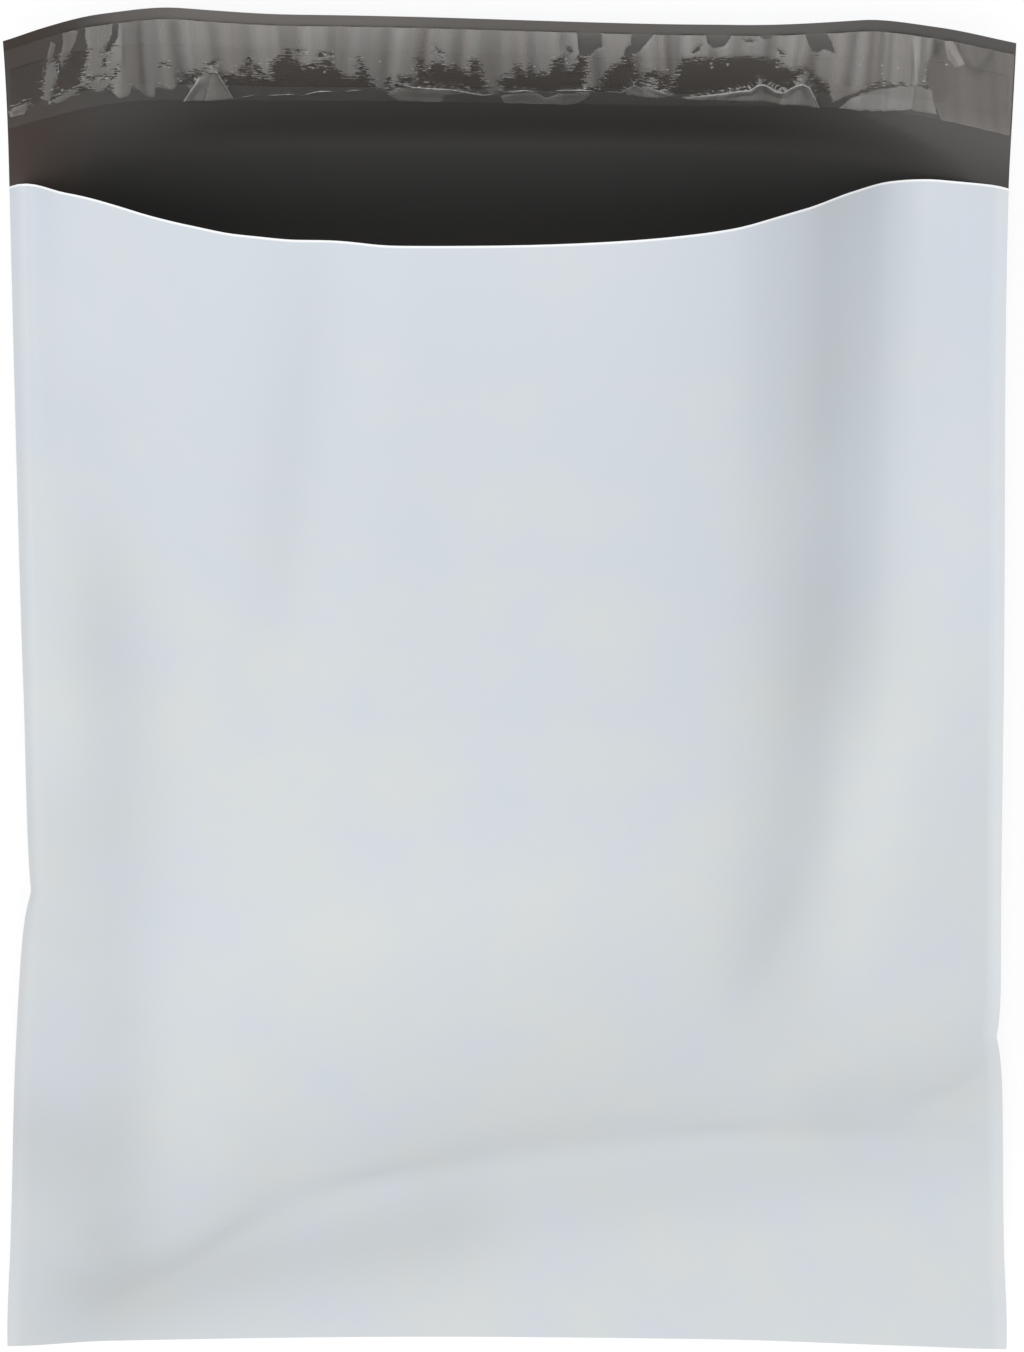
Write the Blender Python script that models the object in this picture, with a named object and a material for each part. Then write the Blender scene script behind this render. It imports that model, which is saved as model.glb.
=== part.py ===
"""Poly mailer bag: one folded, side-welded film bag with an open mouth, a glue strip and its liner.

Units are metres, +Z is up. The bag lies on its back panel, the bottom fold towards -Y and the flap
towards +Y, and the middle of the footprint is the origin. A place across the film runs from -1 at the
left weld's edge to 1 at the right one. A place along it is measured from the bottom fold.
"""
import bmesh
import bpy
import numpy as np

# flat sizes of the film
WIDTH = 0.368
POCKET = 0.457
FLAP = 0.057
FILM = 0.00006
WELD = 0.003
FOLD = 0.001

# glue strip and its liner, set in from the flap's free edge
LINER_INSET = 0.004
LINER_WIDTH = 0.032
LINER_FILM = 0.00005
GLUE_MARGIN = 0.0065
GLUE_WIDTH = 0.016
GLUE_THICKNESS = 0.00015
GLUE_END_GAP = 0.002
CLEARANCE = 0.0003

# how far the bag stands open and puffed
MOUTH = 0.079
BELLY = 0.046
SKIRT = 0.010
SKIRT_RAMP = 0.13
CREASE_RADIUS = 0.012
LEFT_LIFT = 0.0285
RIGHT_LIFT = 0.032
LEFT_PULL = 0.0137
RIGHT_PULL = 0.0149
FOLD_DRAW = 0.0044
FLAP_LIFT = 0.0475
FLAT_SHARE = 0.45
MOUTH_SHARE = 0.45
FLAP_BEND = 0.15
STEEPEST = 0.98

# pinches in the welds where the creases end
LEFT_PINCH = 0.0035
LEFT_PINCH_REACH = 0.014
LEFT_PINCH_SHARE = 0.408
RIGHT_PINCH = 0.0021
RIGHT_PINCH_REACH = 0.010
RIGHT_PINCH_SHARE = 0.295

# (place along as a share of the pocket, share of the full lift or pull)
LEFT_SEAM_RISE = [(0.0, 0.0), (0.12, 0.14), (0.35, 0.79), (0.60, 0.93), (1.0, 1.0)]
RIGHT_SEAM_RISE = [(0.0, 0.0), (0.12, 0.13), (0.35, 0.63), (0.60, 0.81), (1.0, 1.0)]
LEFT_SEAM_PULL = [(0.0, 0.0), (0.10, 0.18), (0.24, 0.44), (0.40, 0.79), (0.60, 1.0)]
RIGHT_SEAM_PULL = [(0.0, 0.0), (0.10, 0.17), (0.24, 0.36), (0.40, 0.58), (0.60, 0.71), (1.0, 0.98)]

# (place across, share of the mouth's height over the back panel)
LIP_PROFILE = [
    (-1.0, 0.0), (-0.9, 0.26), (-0.8, 0.495), (-0.65, 0.80), (-0.55, 0.92), (-0.42, 0.985), (-0.25, 1.0),
    (-0.1, 0.985), (0.25, 0.94), (0.45, 0.86), (0.6, 0.635), (0.7, 0.37), (0.78, 0.16), (0.87, 0.05),
    (1.0, 0.0),
]
# (place across, share of the free edge's greatest height over the floor)
FREE_EDGE_PROFILE = [
    (-1.08, 1.14), (-1.0, 0.925), (-0.92, 0.73), (-0.82, 0.565), (-0.66, 0.425), (-0.4, 0.465),
    (0.35, 0.535), (0.7, 0.535), (0.85, 0.69), (1.0, 0.975), (1.08, 1.16),
]
# (place across, how far the flap bows up between the lip line and its free edge, or sags if negative)
FLAP_BOW = [(-1.0, -1.0), (-0.8, -0.4), (-0.6, 0.7), (0.3, 0.75), (0.75, 0.4), (1.0, 0.2)]
# (place across, share of the bottom fold's greatest draw)
FOLD_PROFILE = [(-1.0, 0.0), (-0.8, 0.52), (-0.1, 1.0), (0.4, 0.84), (0.8, 0.27), (1.0, 0.0)]
# (place across, share of the pocket at which the slanting crease runs)
CREASE_ROUTE = [(-0.95, 0.048), (-0.72, 0.066), (-0.42, 0.137), (0.39, 0.192), (0.97, 0.192)]

# soft valleys in the front panel
RIGHT_VALLEY = 0.0070
LEFT_VALLEY = 0.004
EDGE_VALLEY = 0.005
# for each: depth, route as (share of the pocket, place across), half width across, and the share of
# its depth along the pocket
VALLEYS = [
    (
        RIGHT_VALLEY,
        [(0.34, 0.60), (0.60, 0.69), (1.0, 0.70)],
        0.085,
        [(0.30, 0.0), (0.42, 1.0), (0.75, 0.8), (1.0, 0.0)],
    ),
    (
        LEFT_VALLEY,
        [(0.60, -0.44), (0.80, -0.40), (1.0, -0.33)],
        0.06,
        [(0.50, 0.0), (0.75, 1.0), (1.0, 0.5)],
    ),
    (
        EDGE_VALLEY,
        [(0.20, -0.68), (0.45, -0.76), (0.84, -0.80)],
        0.08,
        [(0.14, 0.0), (0.45, 1.0), (0.88, 0.0)],
    ),
]

# the liner's lifted folds and ripples
LINER_FOLD = 0.0035
LINER_RIPPLE = 0.0005
LINER_RIPPLES_ACROSS = 15
# (place across, half width across, share of the fold's height, 1 on the lower margin or 0 on the upper)
LINER_FOLDS = [
    (-0.90, 0.020, 0.85, 1),
    (-0.60, 0.045, 1.0, 1),
    (0.42, 0.040, 0.7, 1),
    (0.58, 0.050, 0.85, 1),
    (0.76, 0.030, 0.6, 1),
    (-0.78, 0.030, 0.6, 0),
    (0.20, 0.025, 0.35, 0),
    (0.62, 0.030, 0.45, 0),
]

COLUMNS = 31
POCKET_ROWS = 37
LINER_STEPS = 3


def through(points, place):
    """Smooth curve through (place, value) points that doesn't overshoot them, level past both ends."""
    places, values = np.array(points, float).T
    step = np.diff(places)
    rise = np.diff(values) / step
    before, after = rise[:-1], rise[1:]
    turns = before * after <= 0
    slope = np.zeros_like(values)
    slope[1:-1] = np.where(turns, 0.0, 2 * before * after / np.where(turns, 1.0, before + after))
    k = np.clip(np.searchsorted(places, place) - 1, 0, len(step) - 1)
    f = np.clip((place - places[k]) / step[k], 0.0, 1.0)
    ends = values[k] * (1 + 2 * f) * (1 - f) ** 2 + values[k + 1] * f * f * (3 - 2 * f)
    return ends + step[k] * f * (1 - f) * (slope[k] * (1 - f) - slope[k + 1] * f)


def ease(t):
    """Zero below 0, one above 1, and level at both."""
    t = np.clip(t, 0.0, 1.0)
    return t * t * (3 - 2 * t)


def by_side(across, left, right):
    return np.where(across < 0, left, right)


def half_width(across, along):
    """From the middle to the weld's edge: the flat half width, less what the puffed shape pulls in."""
    share = along / POCKET
    left = LEFT_PULL * through(LEFT_SEAM_PULL, share)
    right = RIGHT_PULL * through(RIGHT_SEAM_PULL, share)
    left_off = np.abs(along - LEFT_PINCH_SHARE * POCKET) / LEFT_PINCH_REACH
    right_off = np.abs(along - RIGHT_PINCH_SHARE * POCKET) / RIGHT_PINCH_REACH
    left = left + LEFT_PINCH * np.exp(-left_off)
    right = right + RIGHT_PINCH * np.exp(-right_off)
    return WIDTH / 2 - by_side(across, left, right)


def back_height(across, along):
    """Inner face of the back panel and flap, flat in the middle and curving up to the welds and free edge."""
    share = np.minimum(along / POCKET, 1.0)
    lift = by_side(
        across,
        LEFT_LIFT * through(LEFT_SEAM_RISE, share),
        RIGHT_LIFT * through(RIGHT_SEAM_RISE, share),
    )
    bend = np.clip((np.abs(across) - FLAT_SHARE) / (1 - FLAT_SHARE), 0.0, 1.0)
    panel = FILM + lift * bend**2
    out = np.clip((along - POCKET) / FLAP, 0.0, 1.0)
    rise = (np.hypot(out, FLAP_BEND) - FLAP_BEND) / (np.hypot(1.0, FLAP_BEND) - FLAP_BEND)
    rise = rise * (1 + through(FLAP_BOW, across) * (1 - rise))
    return panel + (FLAP_LIFT * through(FREE_EDGE_PROFILE, across) - panel) * rise


def opening(across, along):
    """Clear height between the two panels' inner faces. It is zero in the welds and at the bottom fold."""
    across = np.clip(across / (1 - 2 * WELD / WIDTH), -1.0, 1.0)
    inside = np.maximum(along - FOLD, 0.0)
    share = along / POCKET
    past = inside - POCKET * through(CREASE_ROUTE, across)
    skirt = SKIRT * (1 - across**4) * ease(inside / (inside - past + 2 * CREASE_RADIUS))
    past = 0.5 * (past + np.sqrt(past**2 + CREASE_RADIUS**2))
    rise = 1 - np.maximum(1 - past / SKIRT_RAMP, 0.0) ** 2
    rise = rise * ease(inside / CREASE_RADIUS)
    to_mouth = ease((share - MOUTH_SHARE) / (1 - MOUTH_SHARE))
    belly = BELLY * (1 - across**2)
    body = belly * (1 - to_mouth) + MOUTH * through(LIP_PROFILE, across) * to_mouth
    clear = skirt * (1 - to_mouth) + body * rise
    for depth, route, reach, along_it in VALLEYS:
        off = (across - through(route, share)) / reach
        clear = clear - np.minimum(depth * through(along_it, share), 0.5 * clear) * np.exp(-0.5 * off**2)
    return clear


def front_height(across, along):
    return back_height(across, along) + opening(across, along)


def film(height, across, along):
    """Grid of points, a row for each place along. The film doesn't stretch, so what a column rises it
    loses in reach, and it climbs no steeper than STEEPEST, its rise over its own length."""
    s, v = np.meshgrid(across, along)
    z = height(s, v)
    rise, run = np.diff(z, axis=0), np.diff(v, axis=0)
    reach = np.sqrt(run**2 - np.minimum(rise**2, (STEEPEST * run) ** 2))
    start = FOLD_DRAW * through(FOLD_PROFILE, s[:1])
    y = np.concatenate([start, start + np.cumsum(reach, axis=0)])
    return np.stack([s * half_width(s, v), y, z], axis=-1)


def normals(grid):
    """Unit normals of a grid of points, pointing up."""
    n = np.cross(np.gradient(grid, axis=1), np.gradient(grid, axis=0))
    return n / np.linalg.norm(n, axis=-1, keepdims=True)


def columns():
    weld = 2 * WELD / WIDTH
    return np.concatenate([[-1.0], np.linspace(weld - 1, 1 - weld, COLUMNS + 1), [1.0]])


def flap_marks():
    """Distances from the lip line: the liner's lower edge, the glue's two edges and the liner's top."""
    liner_top = FLAP - LINER_INSET
    liner_low = liner_top - LINER_WIDTH
    glue_low = liner_low + GLUE_MARGIN
    return liner_low, glue_low, glue_low + GLUE_WIDTH, liner_top


def flap_rows():
    liner_low, glue_low, glue_top, liner_top = flap_marks()
    plain = np.linspace(0.0, liner_low, 5)[1:]
    return np.concatenate([plain, [glue_low, (glue_low + glue_top) / 2, glue_top, liner_top, FLAP]])


def pocket_rows():
    return np.concatenate([[0.0], np.linspace(FOLD, POCKET, POCKET_ROWS + 1)])


class Shell:
    """Collects shared points and the faces between them."""

    def __init__(self):
        self.points = []
        self.faces = []

    def add(self, grid):
        """Adds a grid of points and returns the grid of their numbers."""
        first = len(self.points)
        self.points.extend(grid.reshape(-1, 3).tolist())
        return np.arange(first, len(self.points)).reshape(grid.shape[:-1])

    def strip(self, a, b):
        """Faces between two lines of point numbers, without those that have closed up."""
        for k in range(len(a) - 1):
            ring = list(dict.fromkeys([a[k], a[k + 1], b[k + 1], b[k]]))
            if len(ring) > 2:
                self.faces.append(ring)

    def sheet(self, rows):
        for low, high in zip(rows[:-1], rows[1:]):
            self.strip(low, high)

    def build(self, name, material):
        mesh = bpy.data.meshes.new(name)
        bm = bmesh.new()
        verts = [bm.verts.new(p) for p in self.points]
        for face in self.faces:
            bm.faces.new([verts[k] for k in face])
        bmesh.ops.recalc_face_normals(bm, faces=bm.faces)
        bm.to_mesh(mesh)
        bm.free()
        mesh.shade_smooth()
        mesh.materials.append(material)
        body = bpy.data.objects.new(name, mesh)
        bpy.context.collection.objects.link(body)
        return body


def closed_sheet(name, material, low, high):
    """A sheet with a lower and an upper face, joined all round."""
    shell = Shell()
    a, b = shell.add(low), shell.add(high)
    shell.sheet(a)
    shell.sheet(b)
    for edge in (0, -1):
        shell.strip(a[edge], b[edge])
        shell.strip(a[:, edge], b[:, edge])
    return shell.build(name, material)


def bag_film(material, shift):
    """The bag itself: two panels welded at the sides, one film round the bottom fold, and the flap."""
    across, pocket = columns(), pocket_rows()
    along = np.concatenate([pocket, POCKET + flap_rows()])
    lip = len(pocket) - 1
    front_in = film(front_height, across, pocket)
    back_in = film(back_height, across, along)
    front_out = front_in + FILM * normals(front_in)
    back_out = back_in - FILM * normals(back_in)

    shell = Shell()
    top = shell.add(front_out + shift)
    under = shell.add(back_out + shift)
    inner = shell.add(back_in + shift)
    roof = inner[: lip + 1].copy()
    roof[2:, 2:-2] = shell.add(front_in[2:, 2:-2] + shift)

    shell.sheet(top)
    shell.sheet(under)
    shell.sheet(roof[1:, 1:-1])
    shell.sheet(inner[1 : lip + 1, 1:-1])
    shell.sheet(inner[lip:])
    shell.strip(top[0], under[0])
    shell.strip(inner[-1], under[-1])
    shell.strip(top[lip], roof[lip])
    for side in (0, -1):
        shell.strip(top[:lip, side], under[:lip, side])
        shell.faces.append(
            [top[lip - 1, side], top[lip, side], inner[lip, side], under[lip, side], under[lip - 1, side]]
        )
        shell.strip(inner[lip:, side], under[lip:, side])
    used = sorted({k for face in shell.faces for k in face})
    number = {k: n for n, k in enumerate(used)}
    shell.points = [shell.points[k] for k in used]
    shell.faces = [[number[k] for k in face] for face in shell.faces]
    return shell.build("bag_film", material)


def flap_top(across, out):
    """Grid of points and normals on the flap's upper face, read between the bag film's own columns and
    rows so that what lies on the flap follows its facets."""
    own_across = columns()
    own_rows = np.concatenate([pocket_rows(), POCKET + flap_rows()])
    grid = film(back_height, own_across, own_rows)
    both = np.concatenate([grid, normals(grid)], axis=-1)

    def between(places, own, values):
        k = np.clip(np.searchsorted(own, places) - 1, 0, len(own) - 2)
        f = ((places - own[k]) / (own[k + 1] - own[k]))[:, None, None]
        return values[k] * (1 - f) + values[k + 1] * f

    rows = between(POCKET + np.asarray(out), own_rows, both)
    read = between(np.asarray(across), own_across, rows.transpose(1, 0, 2)).transpose(1, 0, 2)
    return read[..., :3], read[..., 3:]


def glue_strip(material, shift):
    low, top = flap_marks()[1:3]
    across = columns()
    end = 1 - 2 * GLUE_END_GAP / WIDTH
    across = np.concatenate([[-end], across[2:-2], [end]])
    points, up = flap_top(across, [low, (low + top) / 2, top])
    base = points + CLEARANCE * up + shift
    return closed_sheet("adhesive_strip", material, base, base + GLUE_THICKNESS * up)


def liner_lift(across, out):
    """Height of the liner's folds and ripples over the glue. Its margins lift, its glued middle hardly."""
    liner_low, glue_low, glue_top, liner_top = flap_marks()
    lower = ease((glue_top - out) / (glue_top - liner_low))
    upper = ease((out - glue_low) / (liner_top - glue_low))
    lift = np.zeros_like(across)
    for place, reach, share, on_lower in LINER_FOLDS:
        margin = lower if on_lower else upper
        tent = np.maximum(1 - np.abs(across - place) / reach, 0.0)
        lift = np.maximum(lift, share * LINER_FOLD * margin**2 * tent)
    ripple = 0.5 - 0.5 * np.cos(2 * np.pi * LINER_RIPPLES_ACROSS * across)
    return lift + LINER_RIPPLE * ripple * np.maximum(lower, upper) ** 2


def release_liner(material, shift):
    own = columns()
    fine = np.linspace(0, len(own) - 1, LINER_STEPS * (len(own) - 1) + 1)
    across = np.interp(fine, np.arange(len(own)), own)
    low, glue_low, glue_top, top = flap_marks()
    marks = [low, (low + glue_low) / 2, *np.linspace(glue_low, glue_top, 4), (glue_top + top) / 2, top]
    out = np.array(marks)
    points, up = flap_top(across, out)
    s, w = np.meshgrid(across, out)
    lift = 2 * CLEARANCE + GLUE_THICKNESS + liner_lift(s, w)
    base = points + lift[..., None] * up + shift
    return closed_sheet("release_liner", material, base, base + LINER_FILM * up)


def plain_material(name, rgb, roughness, alpha=1.0):
    material = bpy.data.materials.new(name)
    material.use_nodes = True
    shader = material.node_tree.nodes["Principled BSDF"]
    shader.inputs["Base Color"].default_value = (*rgb, 1.0)
    shader.inputs["Metallic"].default_value = 0.0
    shader.inputs["Roughness"].default_value = roughness
    shader.inputs["Alpha"].default_value = alpha
    return material


def footprint_shift():
    """Moves the middle of everything's footprint to the origin."""
    across = columns()
    along = np.concatenate([pocket_rows(), POCKET + flap_rows()])
    back = film(back_height, across, along)
    under = back - FILM * normals(back)
    low, high = under.reshape(-1, 3).min(0), under.reshape(-1, 3).max(0)
    return np.array([-(low[0] + high[0]) / 2, -(low[1] + high[1]) / 2, -low[2]])


def main():
    for old in list(bpy.data.objects):
        bpy.data.objects.remove(old)
    shift = footprint_shift()
    bag_film(plain_material("poly_film", (0.67, 0.72, 0.77), 0.35), shift)
    glue_strip(plain_material("hot_melt_glue", (0.10, 0.08, 0.06), 0.3), shift)
    release_liner(plain_material("liner_film", (0.35, 0.34, 0.32), 0.15, 0.6), shift)


main()
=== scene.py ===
"""Looks of the poly mailer bag: its film, the glue line on the flap and the liner over the glue.

Laid out as an add-on, and run as a script. Units are metres and +Z is up. The bag lies on its back panel,
with the bottom fold towards -Y and the flap towards +Y. A place across the film runs from -1 at the left
weld's edge to 1 at the right one. A place along it is measured from the bottom fold.
"""
import math

import bpy
import numpy as np
from bpy.props import FloatProperty, IntProperty, PointerProperty, StringProperty
from mathutils import Matrix, Vector


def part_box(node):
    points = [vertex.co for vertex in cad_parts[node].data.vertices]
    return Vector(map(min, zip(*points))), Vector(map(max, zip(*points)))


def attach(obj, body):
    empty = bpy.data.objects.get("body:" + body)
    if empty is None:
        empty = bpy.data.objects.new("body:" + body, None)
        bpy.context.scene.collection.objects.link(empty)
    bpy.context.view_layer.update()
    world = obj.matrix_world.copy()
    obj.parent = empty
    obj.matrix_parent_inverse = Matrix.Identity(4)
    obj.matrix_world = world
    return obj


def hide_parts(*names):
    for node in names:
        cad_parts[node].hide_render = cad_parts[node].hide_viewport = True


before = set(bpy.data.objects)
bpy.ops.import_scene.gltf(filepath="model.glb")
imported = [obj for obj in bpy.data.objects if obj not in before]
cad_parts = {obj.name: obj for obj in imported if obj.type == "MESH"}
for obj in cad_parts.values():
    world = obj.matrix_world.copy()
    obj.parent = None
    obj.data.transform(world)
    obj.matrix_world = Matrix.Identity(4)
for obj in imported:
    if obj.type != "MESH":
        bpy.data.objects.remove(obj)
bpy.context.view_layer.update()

bl_info = {
    "name": "Poly Mailer Bag",
    "version": (1, 0, 0),
    "blender": (4, 5, 0),
    "location": "3D Viewport > Sidebar > Mailer",
    "description": "Builds an open poly mailer bag with a glue line and its release liner",
    "category": "Object",
}

PICTURE_HEIGHT = 1352
MM = 0.001

# (place along as a share of the pocket, share of the full lift or pull)
LEFT_SEAM_RISE = [(0.0, 0.0), (0.12, 0.14), (0.35, 0.79), (0.60, 0.93), (1.0, 1.0)]
RIGHT_SEAM_RISE = [(0.0, 0.0), (0.12, 0.13), (0.35, 0.63), (0.60, 0.81), (1.0, 1.0)]
LEFT_SEAM_PULL = [(0.0, 0.0), (0.10, 0.18), (0.24, 0.44), (0.40, 0.79), (0.60, 1.0)]
RIGHT_SEAM_PULL = [(0.0, 0.0), (0.10, 0.17), (0.24, 0.36), (0.40, 0.58), (0.60, 0.71), (1.0, 0.98)]
# (place across, share of the mouth's height over the back panel)
LIP_PROFILE = [
    (-1.0, 0.0), (-0.9, 0.26), (-0.8, 0.495), (-0.65, 0.80), (-0.55, 0.92), (-0.42, 0.985), (-0.25, 1.0),
    (-0.1, 0.985), (0.25, 0.94), (0.45, 0.86), (0.6, 0.635), (0.7, 0.37), (0.78, 0.16), (0.87, 0.05),
    (1.0, 0.0),
]
# (place across, share of the free edge's greatest height over the floor)
FREE_EDGE_PROFILE = [
    (-1.08, 1.14), (-1.0, 0.925), (-0.92, 0.73), (-0.82, 0.565), (-0.66, 0.425), (-0.4, 0.465),
    (0.35, 0.535), (0.7, 0.535), (0.85, 0.69), (1.0, 0.975), (1.08, 1.16),
]
# (place across, how far the flap bows up between the lip line and its free edge, or sags if negative)
FLAP_BOW = [(-1.0, -1.0), (-0.8, -0.4), (-0.6, 0.7), (0.3, 0.75), (0.75, 0.4), (1.0, 0.2)]
# (place across, share of the bottom fold's greatest draw)
FOLD_PROFILE = [(-1.0, 0.0), (-0.8, 0.52), (-0.1, 1.0), (0.4, 0.84), (0.8, 0.27), (1.0, 0.0)]
# (place across, share of the pocket at which the slanting crease runs)
CREASE_ROUTE = [(-0.95, 0.048), (-0.72, 0.066), (-0.42, 0.137), (0.39, 0.192), (0.97, 0.192)]

FLAT_SHARE = 0.45
MOUTH_SHARE = 0.45
FLAP_BEND = 0.15
STEEPEST = 0.98
# depth in metres, route as (share of the pocket, place across), half width across, share of the depth along
VALLEYS = [
    (0.0070, [(0.34, 0.60), (0.60, 0.69), (1.0, 0.70)], 0.085,
     [(0.30, 0.0), (0.42, 1.0), (0.75, 0.8), (1.0, 0.0)]),
    (0.0040, [(0.60, -0.44), (0.80, -0.40), (1.0, -0.33)], 0.060, [(0.50, 0.0), (0.75, 1.0), (1.0, 0.5)]),
    (0.0050, [(0.20, -0.68), (0.45, -0.76), (0.84, -0.80)], 0.080, [(0.14, 0.0), (0.45, 1.0), (0.88, 0.0)]),
]
# size of a pinch in the weld, its reach towards the fold and towards the lip, and its share of the pocket
LEFT_PINCH = (0.0035, 0.012, 0.035, 0.426)
RIGHT_PINCH = (0.0021, 0.010, 0.010, 0.295)

# soft creases of the front panel: from and to as (place across, share of the pocket), half width and height
FRONT_CREASES = [
    ((-0.84, 0.02), (-0.50, 0.113), 0.0035, -0.0006),
    ((-0.58, 0.095), (-0.22, 0.157), 0.0045, -0.0005),
    ((-0.34, 0.146), (0.45, 0.195), 0.0040, -0.0007),
    ((0.40, 0.193), (1.02, 0.200), 0.0040, -0.0008),
    ((0.99, 0.190), (0.86, 0.232), 0.0028, 0.0009),
    ((0.86, 0.232), (1.00, 0.268), 0.0030, -0.0008),
    ((0.80, 0.225), (1.02, 0.228), 0.0050, -0.0012),
    ((-1.00, 0.392), (-0.86, 0.360), 0.0030, -0.0006),
    ((-0.98, 0.150), (-0.72, 0.050), 0.0060, -0.0008),
    ((-0.92, 0.190), (-0.80, 0.120), 0.0070, 0.0008),
    ((-0.78, 0.320), (-0.70, 0.235), 0.0040, -0.0007),
    ((0.62, 0.62), (0.66, 0.46), 0.0060, -0.0008),
    ((0.49, 0.345), (0.60, 0.44), 0.0050, -0.0008),
    ((-0.55, 0.505), (-0.30, 0.500), 0.0030, -0.00012),
    ((-0.35, 0.605), (0.30, 0.600), 0.0045, -0.00018),
    ((-0.25, 0.560), (0.25, 0.550), 0.0040, 0.00014),
    ((-0.60, 0.430), (0.10, 0.425), 0.0060, -0.00014),
]
# The front panel's creases fade out where the opening under it is lower than this.
CREASE_FADE = 2 * MM
# painted shade in the valleys, along the slanting crease and down the left side: from and to as (place
# across, share of the pocket), half width in metres, and how much of the shade colour it mixes in
PAINTED_SHADE_PLACES = [
    ((-0.82, 0.70), (-0.775, 0.06), 0.0120, 0.21),
    ((-0.86, 0.86), (-0.84, 0.60), 0.0130, 0.08),
    ((-0.93, 0.52), (-0.93, 0.16), 0.0130, 0.13),
    ((-0.92, 0.24), (-0.90, -0.12), 0.0230, 0.22),
    ((-0.90, 0.03), (-0.05, 0.11), 0.0180, 0.17),
    ((-0.75, 0.055), (0.95, 0.185), 0.0110, 0.10),
    ((-0.20, 0.15), (1.05, 0.235), 0.0160, 0.09),
    ((0.626, 1.08), (0.660, 0.58), 0.0170, 0.17),
    ((0.640, 0.72), (0.540, 0.32), 0.0150, 0.16),
    ((0.626, 1.06), (0.632, 0.80), 0.0080, 0.10),
    ((1.06, 0.29), (0.60, 0.22), 0.0130, 0.12),
    ((-0.43, 1.06), (-0.47, 0.70), 0.0080, 0.06),
]

# How grey painted light makes the inner film, as (metres past the lip line, share): on bare film, lighter
# deep in the pocket where shade falls and on the flap, and in the light at the right.
PAINTED_FILL_GREY = [(-0.10, 0.32), (-0.05, 0.24), (-0.02, 0.04), (-0.004, 0.06), (0.006, 0.22), (0.018, 0.36)]
LIT_GREY = [(-0.03, 0.0), (-0.01, 0.04), (0.0, 0.18), (0.012, 0.44), (0.021, 0.54), (0.024, 0.34)]
# (metres past the lip line, place across past which the light at the right falls)
LIT_FROM = [(-0.03, 0.97), (-0.01, 0.90), (0.005, 0.82), (0.012, 0.73), (0.019, 0.64)]
# (place across, how grey the painted reflection makes the bare margin between the liner and the free edge)
PAINTED_MARGIN_REFLECTION = [
    (-1.0, 0.15), (-0.88, 0.35), (-0.78, 0.80), (-0.3, 0.88), (-0.1, 0.70), (0.6, 0.60), (0.8, 0.45),
]
# The painted reflection on the margin starts this far from the free edge and is full grey after the ramp.
MARGIN_START, MARGIN_RAMP = 9 * MM, 4 * MM
# place across at which painted light shining through the film starts to turn it brown, and how far on it is
# fully so
BROWN_FROM, BROWN_RAMP = -0.78, 0.20

# The camera's aim, and the way to the key light, seen from the bag.
CAMERA_AIM = (0.0011, 0.0076, 0.0)
KEY_WAY = (-0.62, 0.46, 0.64)
LIGHT_DISTANCE = 4.0
LIGHT_TARGET = (0.0, 0.0, 0.03)
FLOOR_EXTENT = 8.0

# A facet hazier than the first level is hazy all over, and one hazier than the second has a sharp edge. The
# edges' widths are in mm.
HAZY_LEVEL, SHARP_LEVEL = 0.15, 0.25
SHARP_EDGE, SOFT_EDGE = 0.5, 3.0
# The flutes pivot at this many mm from the liner's lower edge, lean by this share, and the lean comes and
# goes along the liner as a sine with this many mm for a radian.
FLUTE_PIVOT, FLUTE_SLANT, FLUTE_WAVE = 16, 0.10, 23.0
# distance in mm from the hazy part's edge, on both sides, past which its torn fringe gets no sparser
RIM_REACH = 4.0

# Shapes on the liner, as (mm from the middle of the bag, mm from the liner's lower edge). Most were read off
# the picture and turned into mm, and the others were set in mm.
# outline of the part with air under it, which looks hazy
HAZE_OUTLINE = [
    (-155.7, 34.5), (-155.8, 27.9), (-154.9, 23.5), (-155.8, 17.9), (-157.5, 12.5), (-158.1, 8.7),
    (-154.6, 8), (-152.7, 5.3), (-150, 5.3), (-147.4, 6.9), (-146.3, 3.6), (-143.9, 1.8), (-140.6, 2.3),
    (-139.3, 6.2), (-136.9, 4.4), (-134.3, 1.5), (-131.4, 1.4), (-130.6, 5.4), (-127.7, 4.6), (-124.4, 4.2),
    (-121.6, 8.1), (-117.2, 11.4), (-111, 12.7), (-106.2, 12.1), (-97.7, 11.2), (-91.4, 10.1), (-77.5, 9.5),
    (-62.7, 8.7), (-53.5, 8.9), (-47.7, 6.1), (-41.4, 8.6), (-33.3, 10.2), (-22.3, 10.6), (-7.5, 5.6),
    (-2, 6.3), (3.5, 12.4), (18.2, 12), (30.2, 8.5), (32.4, 9.6), (34.8, 14.4), (42.1, 17.3), (49.7, 12),
    (60, 10.3), (62.6, 14.2), (77.3, 12.3), (92.2, 14), (103.2, 11.8), (109.8, 12.4), (111.1, 15.9),
    (118.9, 9.4), (120.2, 2.9), (125.5, 6.6), (136.3, 10.5), (149, 12.3), (150.1, 10.9), (152.5, 12.9),
    (153.5, 18.7), (155.3, 26.9), (155.7, 34.7), (106.2, 34.2), (18, 32.7), (-40.5, 33.8), (-95.3, 34),
    (-121.1, 32.6), (-142.8, 33.5),
]
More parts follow.
